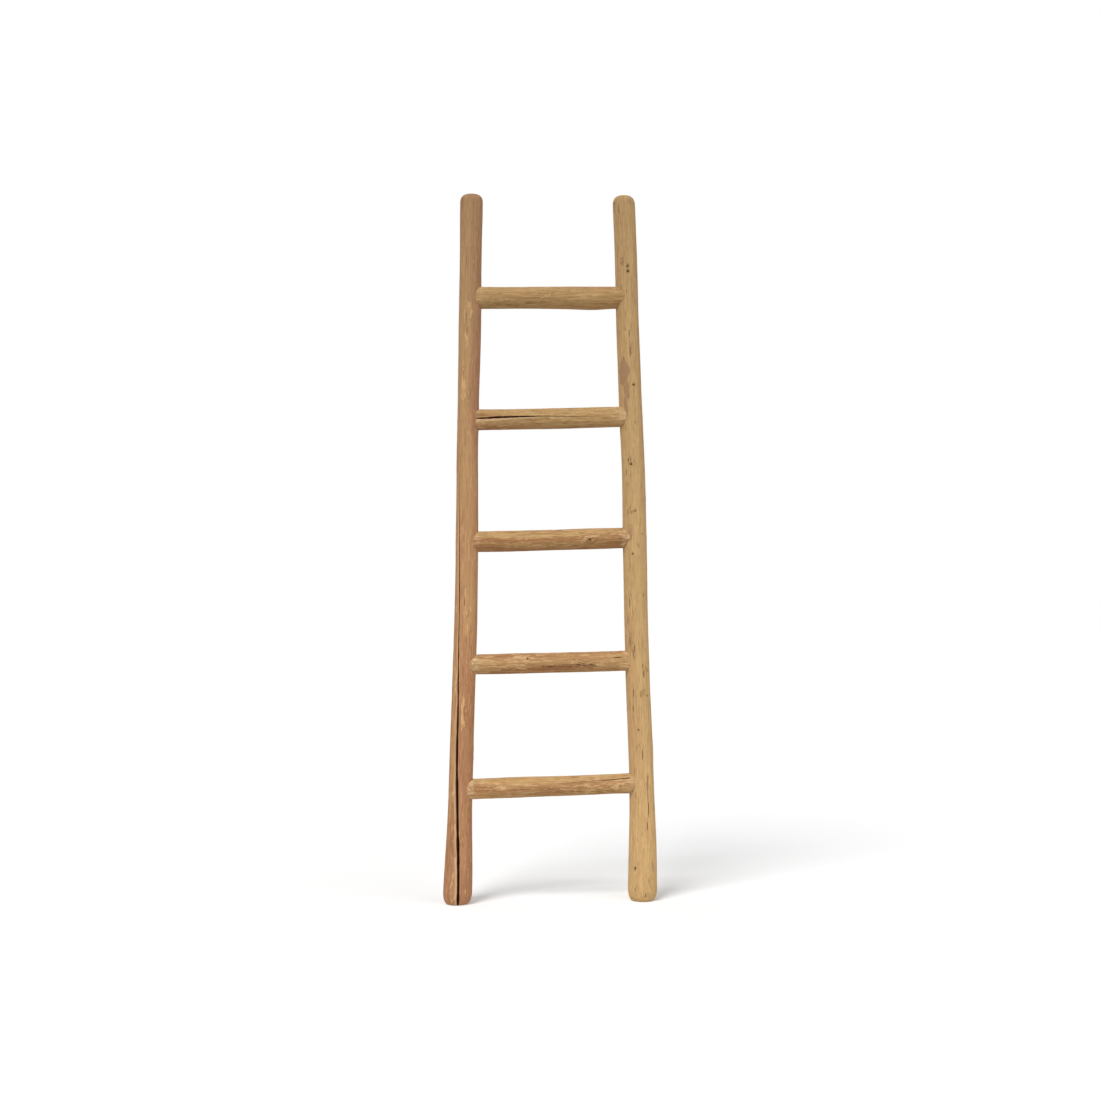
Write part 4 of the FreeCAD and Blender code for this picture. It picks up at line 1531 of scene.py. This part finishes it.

# %% [markdown]
# ## Ride on the body, and hide the CAD pieces
#
# Every new piece rides on the one body, and the CAD pieces it stands for are hidden. The screws keep their
# CAD shape and only get their finish.

# %% Ride, and hide the replaced pieces
for name, piece in pieces.items():
    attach(piece, "root")
    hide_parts(name)
plug_nodes = [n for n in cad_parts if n.startswith("plug_")]
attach(plug_piece, "root")
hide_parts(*plug_nodes)
for name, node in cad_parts.items():
    if name.startswith("screw_"):
        if not node.data.materials:
            node.data.materials.append(None)
        for holder in node.material_slots:
            holder.material = materials["screw_steel"]
print(len(pieces) + 1, "pieces stand for", len(pieces) + len(plug_nodes), "nodes")

# %% [markdown]
# ## Floor, light and camera
#
# The ladder stands on plain white. A soft key from the upper left and front gives the poles
# their round shading and lays a faint shadow to the right and behind. A wider fill comes low
# from the right and front, a weak, wide one from behind on the left, and the white world adds
# the rest. Suns are used, because their light doesn't fall off across a floor. The camera sees
# the floor a little lighter than it is for the light it bounces, and with a small glow, so that
# it reaches white where no shadow lies.

# %% Floor
FLOOR_HALF = 30.0
FLOOR_GLOW = 0.18
FLOOR_SEEN, FLOOR_BOUNCE = grey(0.98), (0.73, 0.72, 0.68, 1.0)
floor = mesh_object(
    "floor",
    np.array([(-1, -1, 0), (1, -1, 0), (1, 1, 0), (-1, 1, 0)]) * FLOOR_HALF,
    [(0, 1, 2, 3)],
    {},
)
paper, r = new_material("white_floor")
ray = r.add("ShaderNodeLightPath").outputs
seen = r.math("MAXIMUM", ray["Is Camera Ray"], ray["Is Glossy Ray"])
glow_share = r.math("MULTIPLY", seen, FLOOR_GLOW)
paper_tone = r.mix(ray["Is Camera Ray"], FLOOR_BOUNCE, FLOOR_SEEN)
matte = r.add("ShaderNodeBsdfDiffuse", {"Color": paper_tone})
glow = r.add("ShaderNodeEmission", {"Color": grey(1.0), "Strength": glow_share})
both = r.add("ShaderNodeAddShader", {0: matte.outputs[0], 1: glow.outputs[0]})
r.add("ShaderNodeOutputMaterial", {"Surface": both.outputs[0]})
floor.data.materials.append(paper)

# %% World and lamps
WORLD_FILL = 0.18
SUNS = {  # strength, angle that it covers in the sky, where it comes from
    "key": (2.05, 26 * DEG, (-0.56, -0.78, 1.2)),
    "fill": (1.35, 70 * DEG, (1.0, -0.95, 0.3)),
    "back": (0.45, 80 * DEG, (-0.8, 0.6, 0.4)),
}
scene = bpy.context.scene
world = bpy.data.worlds.new("white_room")
scene.world = world
world.use_nodes = True
r = Recipe(world.node_tree)
r.tree.nodes.clear()
ray = r.add("ShaderNodeLightPath").outputs
mirrored = r.math("MAXIMUM", ray["Is Glossy Ray"], ray["Is Transmission Ray"])
seen = r.math("MAXIMUM", ray["Is Camera Ray"], mirrored)
strength = r.remap(seen, 0.0, 1.0, WORLD_FILL, 1.0, soft=False)
sky = r.add("ShaderNodeBackground", {"Color": grey(1.0), "Strength": strength})
r.add("ShaderNodeOutputWorld", {"Surface": sky.outputs[0]})

for name, (strength, angle, comes_from) in SUNS.items():
    lamp = bpy.data.lights.new(name, "SUN")
    lamp.energy, lamp.angle = strength, angle
    holder = bpy.data.objects.new(name, lamp)
    holder.rotation_euler = Vector(comes_from).to_track_quat("Z", "Y").to_euler()
    scene.collection.objects.link(holder)

# %% [markdown]
# The camera stands low and a little to the left, 3.4 m off, as the photograph's did. Its
# place was found by matching the poles' outlines, so it is kept as angles and a distance
# from one point on the ladder.

# %% Camera
TARGET = Vector((8.5 * MM, 0.0, 861.9 * MM))
DISTANCE = 3.4
AZIMUTH, ELEVATION, ROLL = -3.00 * DEG, -2.68 * DEG, -0.50 * DEG
LENS, SENSOR = 44.91, 36.0


def aim_camera():
    """The camera's own axes as a matrix, and its place."""
    flat = math.cos(ELEVATION)
    back = Vector((math.sin(AZIMUTH) * flat, -math.cos(AZIMUTH) * flat, math.sin(ELEVATION)))
    right = (-back).cross(Vector((0, 0, 1))).normalized()
    up = right.cross(-back)
    rolled_right = math.cos(ROLL) * right + math.sin(ROLL) * up
    rolled_up = -math.sin(ROLL) * right + math.cos(ROLL) * up
    turned = Matrix((rolled_right, rolled_up, back)).transposed().to_4x4()
    return Matrix.Translation(TARGET + back * DISTANCE) @ turned


camera_data = bpy.data.cameras.new("camera")
camera_data.lens, camera_data.sensor_width = LENS, SENSOR
camera = bpy.data.objects.new("camera", camera_data)
camera.matrix_world = aim_camera()
scene.collection.objects.link(camera)
scene.camera = camera
scene.view_settings.view_transform = "Standard"
print("camera at", [round(c, 3) for c in camera.matrix_world.translation])
